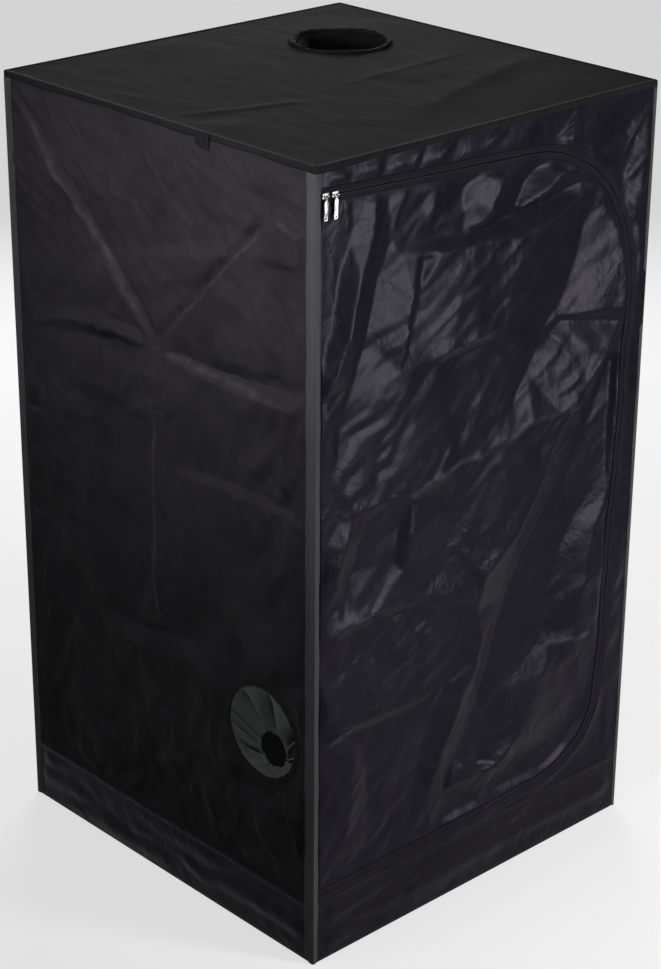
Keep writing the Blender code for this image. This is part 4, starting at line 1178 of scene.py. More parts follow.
@dataclass(frozen=True)
class Walls:
    """The left, right and back walls."""

    finishes: Finishes
    edge: float = 0.006
    cell: float = 0.0058
    coarse_cell: float = 0.009
    port: tuple[Pair, float] = field(default_factory=lambda: ring_of("side_port_hem", 1, 2))
    port_calm: float = 0.04
    carton_levels: Sequence[float] = (0.289, 0.434, 0.578, 0.722)
    hem_width: float = 0.014

    def dressing(self, node: str) -> Dressing:
        """How a wall is dressed: cloth outside and silver film inside."""
        cloth = self.finishes.pick("wall cloth", "silver lining")
        return Dressing("wall_cloth", cloth, replaces=(node,), thickness=CLOTH_THICKNESS)

    def port_outline(self) -> Array:
        """The hole of the side port, anticlockwise in the wall's own coordinates."""
        middle, radius = self.port
        return circle(middle, radius - self.hem_width)

    def left_relief(self, across: Array, up: Array) -> Arrays:
        """The left wall's folds, calm round its port.

        Args:
            across: y of each place.
            up: z of each place.

        Returns:
            How far the cloth stands out, and how much its creases are painted lighter as highlight and partly
            worn cloth.
        """
        reach = OUTER - self.edge
        whole = Crumple(
            WALL_FACE,
            (-reach, TUB_TOP),
            (reach, TENT_HEIGHT),
            LEFT_FOLDS,
            (
                Facets(0.085, 0.0100, 0.5, 1.7, 11),
                Facets(0.042, 0.0080, 2.3, 1.6, 12),
                Facets(0.022, 0.0050, 1.2, 1.5, 13),
            ),
            draped=LEFT_DRAPE,
            drape_height=2.1,
            border=0.022,
            fade=0.014,
            depth=0.012,
            proud=0.018,
        )
        heights, wear_and_highlight = whole(across, up)
        middle, radius = self.port
        calm = rise(np.hypot(across - middle[0], up - middle[1]), radius, radius + self.port_calm)
        return heights * calm, wear_and_highlight * calm

    def plain_relief(self, seed: int) -> Crumple:
        """The folds of a wall that the photograph doesn't show.

        Args:
            seed: the seed of the wall's crumples.

        Returns:
            The wall's relief.
        """
        reach = OUTER - self.edge
        folds = (
            *(Fold((0.04, level), (0.96, level + 0.004), 3.2, 14, 30, 0.7) for level in self.carton_levels),
            Fold((0.5, 0.10), (0.504, 0.72), 3.0, 14, 14, 0.7),
            Fold((0.991, 0.998), (0.5, 0.727), 2.2, 10, 30, 0.8),
            Fold((0.5, 0.727), (0.009, 0.998), 2.2, 10, 30, 0.8),
        )
        facets = (
            Facets(0.095, 0.0045, 0.7, 1.7, seed),
            Facets(0.045, 0.002, 2.2, 1.6, seed + 1),
            Facets(0.022, 0.0007, 1.1, 1.5, seed + 2),
        )
        return Crumple(WALL_FACE, (-reach, TUB_TOP), (reach, TENT_HEIGHT), folds, facets, border=0.022)

    def build(self) -> None:
        """Builds the three walls."""
        reach = OUTER - self.edge
        low, high = (-reach, TUB_TOP + LAYER_GAP), (reach, SKIN_TOP)
        ClothPanel(
            "left_wall_cloth", Side.LEFT, low, high, self.left_relief, self.dressing("wall_left"),
            cell=self.cell, cuts=((self.port_outline(), Keep.OUTSIDE),),
        ).build()
        for name, side, seed in (("right", Side.RIGHT, 31), ("back", Side.BACK, 41)):
            ClothPanel(
                f"{name}_wall_cloth", side, low, high, self.plain_relief(seed), self.dressing(f"wall_{name}"),
                cell=self.coarse_cell,
            ).build()


def circle(centre: Pair, radius: float, sides: int = 64) -> Array:
    """The corners of a regular polygon, anticlockwise."""
    angles = 2 * math.pi * np.arange(sides) / sides
    return np.stack((centre[0] + radius * np.cos(angles), centre[1] + radius * np.sin(angles)), 1)


@dataclass(frozen=True)
class Roof:
    """The roof panel with the hole of its port."""

    finishes: Finishes
    cell: float = 0.0075
    inset: float = 0.0028
    rim: tuple[Vector, Vector] = field(default_factory=lambda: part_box("roof_port_rim"))
    rim_width: float = 0.014
    port_calm: float = 0.04

    @property
    def port(self) -> tuple[Vector, float]:
        """The middle of the port's rim, and its outer radius."""
        low, high = self.rim
        return (low + high) / 2, (high.x - low.x) / 2

    def relief(self, across: Array, up: Array) -> Arrays:
        """The roof's folds, calm round its port.

        Args:
            across: x of each place.
            up: y of each place.

        Returns:
            How far the cloth stands out, and how much its creases are painted lighter as highlight and partly
            worn cloth.
        """
        reach = OUTER - self.inset
        whole = Crumple(
            ROOF_FACE,
            (-reach, -reach),
            (reach, reach),
            ROOF_FOLDS,
            (Facets(0.12, 0.0022, 0.6, 1.6, 21), Facets(0.05, 0.0008, 2.0, 1.5, 22)),
            border=0.012,
            depth=0.004,
            proud=0.006,
        )
        heights, wear_and_highlight = whole(across, up)
        middle, radius = self.port
        calm = rise(np.hypot(across - middle.x, up - middle.y), radius, radius + self.port_calm)
        return heights * calm, wear_and_highlight * calm

    def build(self) -> None:
        """Builds the roof."""
        reach = OUTER - self.inset
        middle, outer = self.port
        hole = circle((middle.x, middle.y), outer - self.rim_width)
        cloth = self.finishes.pick("roof cloth", "silver lining")
        dressing = Dressing("roof_cloth", cloth, replaces=("roof_panel",), thickness=CLOTH_THICKNESS)
        ClothPanel(
            "roof_cloth_panel", Side.ROOF, (-reach, -reach), (reach, reach), self.relief, dressing,
            cell=self.cell, plane=SKIN_TOP, cuts=((hole, Keep.OUTSIDE),),
        ).build()


@dataclass(frozen=True)
class Rail:
    """A line that strips, coils and stitches follow."""

    points: Array
    across: Array
    out: Array

    @cached_property
    def stations(self) -> Array:
        """The distance along the line at each of its points."""
        steps = np.linalg.norm(np.diff(self.points, axis=0), axis=1)
        return np.concatenate(([0.0], np.cumsum(steps)))

    @property
    def length(self) -> float:
        """The length of the line."""
        return float(self.stations[-1])

    def place(self, along: Array, aside: Array, proud: Array) -> Array:
        """Turns distances along, beside and above the line into places.

        Args:
            along: distances along the line.
            aside: distances beside it.
            proud: distances above it.

        Returns:
            The places.
        """

        def at(rows: Array) -> Array:
            """One row for each distance along."""
            return np.stack([np.interp(along, self.stations, rows[:, axis]) for axis in range(3)], 1)

        return at(self.points) + at(self.across) * aside[:, None] + at(self.out) * proud[:, None]


def strip(rail: Rail, section: Sequence[Pair], step: float, shape: Callable | None = None) -> BMesh:
    """A section swept along a rail.

    Args:
        rail: the line it follows.
        section: points beside and above the line, the first again at the end of a closed one.
        step: the distance between stations.
        shape: changes (along, aside, proud) before they are placed.

    Returns:
        The mesh.
    """
    corners = np.array(section)
    girth = np.concatenate(([0.0], np.cumsum(np.linalg.norm(np.diff(corners, axis=0), axis=1))))

    def swept(along_share: Array, round_share: Array) -> Arrays:
        """The strip's places and its flat cloth.

        Args:
            along_share: shares of the line's length.
            round_share: shares of the section's points.

        Returns:
            The places and the flat positions.
        """
        corner = round_share * (len(corners) - 1)
        along = along_share * rail.length
        aside = np.interp(corner, np.arange(len(corners)), corners[:, 0])
        proud = np.interp(corner, np.arange(len(corners)), corners[:, 1])
        flat = np.stack((along, np.interp(corner, np.arange(len(corners)), girth)), 1)
        if shape:
            along, aside, proud = shape(along, aside, proud)
        return rail.place(along, aside, proud), flat

    return laid_grid(max(1, round(rail.length / step)), len(corners) - 1, swept)


@dataclass(frozen=True)
class Stitching:
    """A row of lockstitches in thick thread."""

    pitch: float = 0.0042
    thread: float = 0.00035
    share: float = 0.66
    sides: int = 5
    rings: int = 3

    def sew(self, rail: Rail, aside: float, proud: float) -> BMesh:
        """Repeats a stitch along a rail.

        Args:
            rail: the line.
            aside: how far beside it the row runs.
            proud: how far above it the threads lie.

        Returns:
            The mesh.
        """
        bm = bmesh.new()
        bmesh.ops.create_uvsphere(
            bm, u_segments=self.sides, v_segments=self.rings, radius=1,
            matrix=Matrix.Rotation(math.pi / 2, 4, "Y"),
        )
        size = Vector((self.share / 2, self.thread, self.thread))
        bmesh.ops.scale(bm, vec=size, verts=bm.verts)
        count = int(rail.length / self.pitch) - 1
        bmesh.ops.translate(bm, vec=(1, 0, 0), verts=bm.verts)
        group = math.ceil(math.sqrt(count))
        for pace, copies in ((1, group), (group, count // group)):
            bmesh.ops.spin(
                bm, geom=[*bm.verts, *bm.edges, *bm.faces], cent=(0, 0, 0), axis=(0, 0, 1), dvec=(pace, 0, 0),
                angle=0, steps=copies - 1, use_merge=False, use_duplicate=True,
            )
        spots = np.array([vert.co for vert in bm.verts])
        places = rail.place(spots[:, 0] * self.pitch, spots[:, 1] + aside, spots[:, 2] + proud)
        for vert, place in zip(bm.verts, places.tolist()):
            vert.co = place
        bmesh.ops.recalc_face_normals(bm, faces=bm.faces)
        return bm


@dataclass(frozen=True)
class ZipLine:
    """The line down the middle of the zip on the front face."""

    top_left: Pair = (-0.4857, 1.740)
    top_right: Pair = (0.46, 1.695)
    bottom_right: Pair = (0.40, 0.182)
    bottom_left: Pair = (-0.4857, 0.170)
    top_radius: float = 0.36
    bottom_radius: float = 0.22
    plane: float = SKIN + LAYER_GAP
    step: float = 0.002
    straight_run: float = 0.58
    ease: float = 0.25
    end_calm: Pair = (0.02, 0.2)
    lift: float = 0.0016
    long_waves: Waves = ((0.0016, 17, 0.6), (0.0012, 31, 2.0))
    short_waves: Waves = ((0.0006, 73, 0.0),)
    sway_waves: Waves = ((0.0022, 9, 1.0), (0.0013, 23, 0.0))
    thinned: int = 4
    batch: int = 2000

    @cached_property
    def knots(self) -> Arrays:
        """Where the heading starts and stops turning, and the heading there.

        Returns:
            The stations and the headings.
        """
        corners = np.array((self.top_left, self.top_right, self.bottom_right, self.bottom_left))
        legs = np.diff(corners, axis=0)
        lengths = np.linalg.norm(legs, axis=1)
        headings = np.unwrap(np.arctan2(legs[:, 1], legs[:, 0]))
        radii = (self.top_radius, self.bottom_radius)
        turns = np.abs(np.diff(headings))
        cuts = [radius * math.tan(turn / 2) for radius, turn in zip(radii, turns)]
        runs = [
            lengths[0] - cuts[0],
            radii[0] * turns[0],
            lengths[1] - cuts[0] - cuts[1],
            radii[1] * turns[1],
            lengths[2] - cuts[1],
        ]
        return np.concatenate(([0.0], np.cumsum(runs))), np.repeat(headings, 2)

    @cached_property
    def line(self) -> tuple[Array, Array, Array]:
        """The stations, the (x, z) points and the way out of the door at each.

        Returns:
            The stations, the points and the ways out.
        """
        where, headings = self.knots
        stations = np.linspace(0, where[-1], round(where[-1] / self.step) + 1)
        middles = (stations[1:] + stations[:-1]) / 2
        turned = np.interp(middles, where, headings)
        steps = np.diff(stations)[:, None] * np.stack((np.cos(turned), np.sin(turned)), 1)
        points = np.array(self.top_left) + np.concatenate((np.zeros((1, 2)), np.cumsum(steps, axis=0)))
        heading = np.interp(stations, where, headings)
        return stations, points, np.stack((-np.sin(heading), np.cos(heading)), 1)

    def loose(self, stations: Array) -> Array:
        """1 where the zip hangs loose, 0 where the sliders run and at its end."""
        freed = rise(stations, self.straight_run, self.straight_run + self.ease)
        return freed * rise(self.line[0][-1] - stations, *self.end_calm)

    def wave(self, stations: Array) -> Array:
        """How far the zip stands out of its plane."""
        waves = self.lift + ripple(stations, self.long_waves) + ripple(stations, self.short_waves)
        return self.loose(stations) * waves

    def sway(self, stations: Array) -> Array:
        """How far the zip wanders from its line within the face."""
        return self.loose(stations) * ripple(stations, self.sway_waves)

    @cached_property
    def rail(self) -> Rail:
        """The rail on which the tapes and coils are laid.

        Returns:
            The rail.
        """
        stations, points, away = self.line
        points = points + away * self.sway(stations)[:, None]
        y = -self.plane - self.wave(stations)
        out = np.tile((0.0, -1.0, 0.0), (len(stations), 1))
        across = np.column_stack((away[:, 0], np.zeros(len(away)), away[:, 1]))
        return Rail(np.column_stack((points[:, 0], y, points[:, 1])), across, out)

    def outline(self, offset: float, past: float = 0.06, corner: float = 0.02) -> Array:
        """The cloth's edge beside the zip, carried past the hinge, anticlockwise.

        Args:
            offset: the distance out of the door, negative inside.
            past: how far past the hinge it runs.
            corner: the spacing of its points round the corners.

        Returns:
            The corners in (x, z).
        """
        stations, points, away = self.line
        edge = points + away * offset
        where = self.knots[0]
        picks = [0]
        for start, end in ((where[1], where[2]), (where[3], where[4])):
            spots = np.linspace(start, end, max(2, round((end - start) / corner)))
            picks += [int(np.argmin(np.abs(stations - spot))) for spot in spots]
        picks.append(len(stations) - 1)
        kept = edge[picks]
        kept[0] += past * (kept[0] - kept[1]) / np.linalg.norm(kept[0] - kept[1])
        kept[-1] += past * (kept[-1] - kept[-2]) / np.linalg.norm(kept[-1] - kept[-2])
        return kept[::-1]

    def beside(self, across: Array, up: Array) -> Arrays:
        """Where each place lies along the zip, and how far outside it.

        Args:
            across: x of each place.
            up: z of each place.

        Returns:
            The stations and the signed distances.
        """
        stations, points, away = (rows[:: self.thinned] for rows in self.line)
        spots = np.stack((across, up), 1)
        nearest = np.concatenate(
            [
                ((part[:, None] - points[None]) ** 2).sum(2).argmin(1)
                for part in np.array_split(spots, max(1, len(spots) // self.batch))
            ]
        )
        from_nearest = spots - points[nearest]
        ways = away[nearest]
        along = from_nearest[:, 0] * ways[:, 1] - from_nearest[:, 1] * ways[:, 0]
        return stations[nearest] + along, (from_nearest * ways).sum(1)


@dataclass(frozen=True)
class Front:
    """The front: the cloth round the door, the door, and the cloth hinge it hangs on."""

    finishes: Finishes
    zip_line: ZipLine
    edge: float = 0.006
    seam: float = 0.009
    cell: float = 0.0062
    surround_cell: float = 0.0072
    hinge_x: float = -0.4857
    hinge_half: float = 0.0018
    hinge_cells: tuple[int, int] = (24, 160)
    tape_calm: Pair = (0.015, 0.034)
    tape_carry: Pair = (0.012, 0.07)

    def relief(self, across: Array, up: Array) -> Arrays:
        """The front's folds, carried by the zip where it crosses them.

        Args:
            across: x of each place.
            up: z of each place.

        Returns:
            How far the cloth stands out, and how much its creases are painted lighter as highlight and partly
            worn cloth.
        """
        reach = OUTER - self.edge
        whole = Crumple(
            WALL_FACE,
            (-reach, TUB_TOP),
            (reach, SKIN_TOP),
            FRONT_FOLDS,
            (
                Facets(0.090, 0.0034, 1.0, 1.9, 51),
                Facets(0.046, 0.0026, 0.85, 1.8, 52),
                Facets(0.024, 0.0022, 1.0, 1.6, 53),
            ),
            draped=FRONT_DRAPE,
            drape_height=1.8,
            border=0.006,
            fade=0.02,
            depth=0.018,
            proud=0.024,
        )
        heights, wear_and_highlight = whole(across, up)
        stations, distances = self.zip_line.beside(across, up)
        away = np.abs(distances)
        calm = rise(away, *self.tape_calm)
        carried = self.zip_line.wave(stations) * (1 - rise(away, *self.tape_carry))
        return heights * calm + carried, wear_and_highlight * calm

    def dressing(self, body: str, node: str) -> Dressing:
        """Door cloth outside, silver film inside."""
        cloth = self.finishes.pick("door cloth", "silver lining")
        return Dressing("door_cloth", cloth, body=body, replaces=(node,), thickness=CLOTH_THICKNESS)

    def build(self) -> None:
        """Builds the cloth of the front."""
        reach = OUTER - self.edge
        ClothPanel(
            "front_surround_cloth", Side.FRONT, (-reach, TUB_TOP + LAYER_GAP), (reach, SKIN_TOP), self.relief,
            self.dressing("root", "front_surround"), cell=self.surround_cell,
            cuts=((self.zip_line.outline(self.seam), Keep.OUTSIDE),),
        ).build()
        low = (self.hinge_x + LAYER_GAP, self.zip_line.bottom_left[1])
        high = (self.zip_line.top_right[0], self.zip_line.top_left[1])
        ClothPanel(
            "door_cloth_panel", Side.FRONT, low, high, self.relief, self.dressing("door", "door_panel"),
            cell=self.cell, cuts=((self.zip_line.outline(-self.seam), Keep.INSIDE),),
        ).build()
        self.hinge()

    def hinge(self) -> None:
        """The strip of cloth between the corner band and the door."""
        low, high = self.zip_line.bottom_left[1] + self.seam, self.zip_line.top_left[1] - self.seam

        def hinge_cloth(across: Array, up: Array) -> Arrays:
            """The strip at rest.

            Args:
                across: shares of the strip's width.
                up: shares of its height.

            Returns:
                The places and the flat positions.
            """
            x = self.hinge_x + (2 * across - 1) * self.hinge_half
            z = low + up * (high - low)
            return Side.FRONT.lay(x, z, np.full(len(x), SKIN)), np.stack((x, z), 1)

        bm = laid_grid(*self.hinge_cells, hinge_cloth)
        face_away(bm, Vector((0, 0, TENT_HEIGHT / 2)))
        cloth = self.finishes.pick("door cloth", "silver lining")
        dressing = Dressing("door_cloth", cloth, body="", thickness=CLOTH_THICKNESS / 2)
        strip_piece = dressing.make("door_hinge_cloth", bm)
        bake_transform(strip_piece)


@dataclass(frozen=True)
class Zip:
    """The tapes and coils of the zip."""

    finishes: Finishes
    zip_line: ZipLine
    gap: float = 0.0008
    coil_width: float = 0.0026
    coil_rise: float = 0.0018
    coil_height: float = 0.0007
    coil_sides: int = 8
    coil_drawn: float = 0.26
    tooth: float = 0.0015
    tape_half: float = 0.016
    tape_thickness: float = 0.0008
    tape_lift: float = 0.0001
    tape_inner: float = 0.0012
    tape_step: float = 0.006
    seam_inset: float = 0.0062
    thread_lift: float = 0.0002
    stitching: Stitching = field(default_factory=Stitching)

    def build(self) -> None:
        """Builds both halves of the zip."""
        for name, side, body in (("surround", 1, "root"), ("door", -1, "door")):
            self.tape(name, side, body, f"zip_tape_{name}")
            self.coil(name, side, body)
            self.stitches(name, side, body)

    def tape(self, name: str, side: int, body: str, node: str) -> None:
        """One tape, with a turned edge that stands a little proud.

        Args:
            name: which half, surround or door.
            side: 1 for the half outside the line, -1 for the one inside.
            body: the body it rides on.
            node: the CAD node it replaces.
        """
        low, high = self.tape_lift, self.tape_thickness
        inner, edge = self.tape_inner, self.tape_half
        section = [
            (side * inner, high),
            (side * 0.0045, high),
            (side * (edge - 0.0052), high + 0.0001),
            (side * (edge - 0.0034), high + 0.0008),
            (side * (edge - 0.0012), high + 0.0010),
            (side * edge, high * 0.6),
            (side * (edge - 0.0006), low),
            (side * inner, low),
            (side * inner, high),
        ]
        bm = strip(self.zip_line.rail, section, self.tape_step)
        close_ends(bm)
        dressing = Dressing("zip_tape", self.finishes.pick("zip tape"), body=body, replaces=(node,))
        tape = dressing.make(f"zip_{name}_tape_woven", bm)
        self.zip_line.rail.length

    def coil(self, name: str, side: int, body: str) -> None:
        """One coil, ribbed where each turn of the monofilament crosses it.

        Args:
            name: which half, surround or door.
            side: 1 for the half outside the line, -1 for the one inside.
            body: the body it rides on.
        """
        middle = side * (self.gap + self.coil_width / 2)
        angles = [2 * math.pi * k / self.coil_sides for k in range(self.coil_sides)] + [0.0]
        wide, tall, height = self.coil_width / 2, self.coil_rise / 2, self.coil_height
        section = [(middle + wide * math.cos(a), height + tall * math.sin(a)) for a in angles]

        def ribbed(along: Array, aside: Array, proud: Array) -> tuple:
            """Draws the coil in between its turns.

            Args:
                along: distances along the line.
                aside: distances beside it.
                proud: distances above it.

            Returns:
                The same three, changed.
            """
            turned = 2 * math.pi * (along / self.tooth + 0.25 * side)
            drawn = 1 - self.coil_drawn * (0.5 - 0.5 * np.cos(turned))
            return along, middle + (aside - middle) * drawn, height + (proud - height) * drawn

        bm = strip(self.zip_line.rail, section, self.tooth / 2.5, ribbed)
        close_ends(bm)
        Dressing("zip_tape", self.finishes.pick("zip coil"), body=body).make(f"zip_{name}_coil", bm)

    def stitches(self, name: str, side: int, body: str) -> None:
        """The row that sews the tape to its cloth.

        Args:
            name: which half, surround or door.
            side: 1 for the half outside the line, -1 for the one inside.
            body: the body it rides on.
        """
        aside, proud = side * (self.tape_half - self.seam_inset), self.tape_thickness + self.thread_lift
        bm = self.stitching.sew(self.zip_line.rail, aside, proud)
        Dressing("zip_tape", self.finishes.pick("thread"), body=body).make(f"zip_{name}_stitches", bm)


FLAT_ANGLE = math.radians(1)
SHARP_ANGLE = math.radians(38)
ROUND_STEPS = 2


def rounded_copy(node: str, name: str, dressing: Dressing, width: float) -> bpy.types.Object:
    """A copy of a CAD piece with its sharp edges softened.

    Args:
        node: the CAD node.
        name: the new piece's name.
        dressing: how it is dressed.
        width: how far the edges are rounded.

    Returns:
        The piece.
    """
    bm = bmesh.new()
    bm.from_mesh(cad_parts[node].data)
    bmesh.ops.remove_doubles(bm, verts=bm.verts, dist=WELD)
    bmesh.ops.dissolve_limit(bm, angle_limit=FLAT_ANGLE, verts=bm.verts, edges=bm.edges)
    sharp = [edge for edge in bm.edges if edge.is_manifold and edge.calc_face_angle() > SHARP_ANGLE]
    bmesh.ops.bevel(
        bm, geom=sharp, offset=width, affect="EDGES", segments=ROUND_STEPS, profile=0.5, material=-1,
        clamp_overlap=True,
    )
    bmesh.ops.recalc_face_normals(bm, faces=bm.faces)
    return dressing.make(name, bm)


@dataclass(frozen=True)
class PoleFrame:
    """The painted poles, the moulded blocks that join them, and the hanger bars."""

    finishes: Finishes
    radius: float = 0.008
    wall: float = 0.001
    sides: int = 32
    lip: float = 0.0004
    spigot_length: float = 0.05
    shoulder: float = 0.003
    block_round: float = 0.0007
    clip_round: float = 0.0003

    def tube(self, name: str, node: str, body: str = "root", necked: bool = False) -> None:
        """One pole where its node is, turned with a rolled lip at each end.

        Args:
            name: the pole's name.
            node: the CAD node it replaces.
            body: the body it rides on.
            necked: whether its upper end is drawn in to a spigot.
        """
        low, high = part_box(node)
        size = high - low
        axis = max(range(3), key=lambda k: size[k])
        bore = self.radius - self.wall
        length = size[axis]
        neck = length - self.spigot_length if necked else length
        spigot = bore - LAYER_GAP
        profile = [(bore, 0), (self.radius - self.lip, 0), (self.radius, self.lip)]
        if necked:
            top = neck + self.shoulder
            profile += [(self.radius, neck), (spigot, top), (spigot, length), (spigot - self.wall, length)]
            profile += [(spigot - self.wall, top), (bore, neck - self.shoulder)]
        else:
            profile += [(self.radius, length - self.lip), (self.radius - self.lip, length), (bore, length)]
        bm = bmesh.new()
        corners = [bm.verts.new((across, 0, height)) for across, height in profile]
        edges = [bm.edges.new(pair) for pair in zip(corners, [*corners[1:], corners[0]])]
        bmesh.ops.spin(
            bm, geom=[*corners, *edges], cent=(0, 0, 0), axis=(0, 0, 1), angle=2 * math.pi, steps=self.sides,
            use_merge=True,
        )
        bmesh.ops.remove_doubles(bm, verts=bm.verts, dist=WELD)
        bmesh.ops.recalc_face_normals(bm, faces=bm.faces)
        turn = (
            Matrix.Rotation(math.pi / 2, 4, "Y"), Matrix.Rotation(-math.pi / 2, 4, "X"), Matrix.Identity(4)
        )[axis]
        start = (low + high) / 2
        start[axis] = low[axis]
        bmesh.ops.transform(bm, matrix=Matrix.Translation(start) @ turn, verts=bm.verts)
        Dressing("pole_paint", self.finishes.pick("pole paint"), body=body, replaces=(node,)).make(name, bm)

    def build(self) -> None:
        """Builds the frame."""
        for level in ("bottom", "top"):
            for side in ("front", "back", "left", "right"):
                self.tube(f"pole_{level}_{side}", f"rail_{level}_{side}")
            for corner in CORNERS:
                node = f"corner_block_{level}_{corner}"
                dressing = Dressing("corner_plastic", self.finishes.pick("corner plastic"), replaces=(node,))
                rounded_copy(node, f"corner_{level}_{corner}", dressing, self.block_round)
        for corner in CORNERS:
            self.tube(f"post_lower_{corner}", f"upright_lower_{corner}", necked=True)
            self.tube(f"post_upper_{corner}", f"upright_upper_{corner}")
        for place in ("front", "back"):
            body = f"hanger_{place}"
            self.tube(f"bar_{place}", f"hanger_bar_{place}", body)
            for end in ("left", "right"):
                node = f"hanger_clip_{place}_{end}"
                plastic = self.finishes.pick("corner plastic")
                dressing = Dressing("corner_plastic", plastic, body=body, replaces=(node,))
                rounded_copy(node, f"clip_{place}_{end}", dressing, self.clip_round)


CORNERS = ("front_left", "front_right", "back_left", "back_right")


def corner_signs(corner: str) -> Pair:
    """The sides of X and Y that a corner is on."""
    return (-1 if corner.endswith("left") else 1), (-1 if corner.startswith("front") else 1)


@dataclass(frozen=True)
class CornerBands:
    """The stitched webbing down the four corners."""

    finishes: Finishes
    front_leg: float = 0.014
    side_leg: float = 0.028
    bend: float = 0.0055
    thickness: float = 0.001
    step: float = 0.012
    tip: float = 0.008
    tip_least: float = 0.12
    seam_inset: float = 0.003
    second_row: float = 0.010
    seam_ends: Pair = (0.012, 0.002)
    thread_lift: float = 0.0001
    stitching: Stitching = field(default_factory=Stitching)

    def build(self) -> None:
        """Builds each band and its stitches."""
        for corner in CORNERS:
            self.band(corner)

    def rail(self, corner: str, low: float, high: float) -> Rail:
        """The corner's own edge, from which the band's section is measured.

        Args:
            corner: the corner's name.
            low: z where it starts.
            high: z where it ends.

        Returns:
            The rail.
        """
        side_x, side_y = corner_signs(corner)
        z = np.linspace(low, high, 2)
        points = np.column_stack((np.full(2, side_x * OUTER), np.full(2, side_y * OUTER), z))
        return Rail(points, np.tile((-side_x, 0.0, 0.0), (2, 1)), np.tile((0.0, -side_y, 0.0), (2, 1)))

    def band(self, corner: str) -> None:
        """One band: a leg on the front or back and a wider one on the side.

        Args:
            corner: the corner's name.
        """
        node = f"corner_band_{corner}"
        low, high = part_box(node)
        rail = self.rail(corner, low.z, high.z)
        half = self.thickness / 2
        turn = [math.pi / 2 * k / 6 for k in range(7)]
        inner = self.bend - half
        bend = [(self.bend - inner * math.sin(a), self.bend - inner * math.cos(a)) for a in turn]
        legs_x = [(x, half) for x in np.linspace(self.front_leg, self.bend + 0.001, 4)]
        legs_y = [(half, y) for y in np.linspace(self.bend + 0.001, self.side_leg, 7)]
        section = [*legs_x, *bend, *legs_y]

        def worn(along: Array, aside: Array, proud: Array) -> tuple:
            """Lets the band's edges wander and rounds its lower end.

            Args:
                along: distances along the line.
                aside: distances beside it.
                proud: distances above it.

            Returns:
                The same three, changed.
            """
            wander = ripple(along, ((0.0006, 23, len(corner)), (0.0004, 61, 0)))
            tip = np.sqrt(np.clip(1 - ((self.tip - along) / self.tip).clip(0, 1) ** 2, self.tip_least, 1))
            aside = np.where(aside > self.bend, self.bend + (aside - self.bend + wander) * tip, aside)
            proud = np.where(proud > self.bend, self.bend + (proud - self.bend + wander) * tip, proud)
            return along, aside, proud

        bm = strip(rail, section, self.step, worn)
        face_away(bm, Vector((0, 0, (low.z + high.z) / 2)))
        # The band's cloth is painted lighter than the walls: a painted highlight of the rounded corner.
        dressing = Dressing(
            "band_cloth", self.finishes.pick("band cloth with painted highlight"), replaces=(node,), thickness=self.thickness / 2
        )
        band = dressing.make(f"band_{corner}", bm)
        seam = self.rail(corner, low.z + self.seam_ends[0], high.z - self.seam_ends[1])
        rows = (
            (self.front_leg - self.seam_inset, self.thread_lift),
            (self.thread_lift, self.side_leg - self.seam_inset),
            (self.thread_lift, self.side_leg - self.second_row),
        )
        for number, (aside, proud) in enumerate(rows):
            bm = self.stitching.sew(seam, aside, proud)
            Dressing("band_cloth", self.finishes.pick("thread")).make(f"band_{corner}_stitches_{number}", bm)


def rim_rail(reach: float, radius: float, height: float, steps: int = 8) -> Rail:
    """A rounded square round the tent, with its way out sideways.

    Args:
        reach: half the square's side.
        radius: the radius of its corners.
        height: its z.
        steps: the steps of each corner.

    Returns:
        The closed rail, whose across direction points up.
    """
    points, outs = [], []
    for quarter in range(4):
        turn = math.pi / 2 * quarter
        for step in range(steps + 1):
            angle = turn + math.pi / 2 * step / steps
            side_x, side_y = ((1, 1), (-1, 1), (-1, -1), (1, -1))[quarter]
            middle_x, middle_y = side_x * (reach - radius), side_y * (reach - radius)
            points.append((middle_x + radius * math.cos(angle), middle_y + radius * math.sin(angle), height))
            outs.append((math.cos(angle), math.sin(angle), 0.0))
    points.append(points[0])
    outs.append(outs[0])
    return Rail(np.array(points), np.tile((0.0, 0.0, 1.0), (len(points), 1)), np.array(outs))


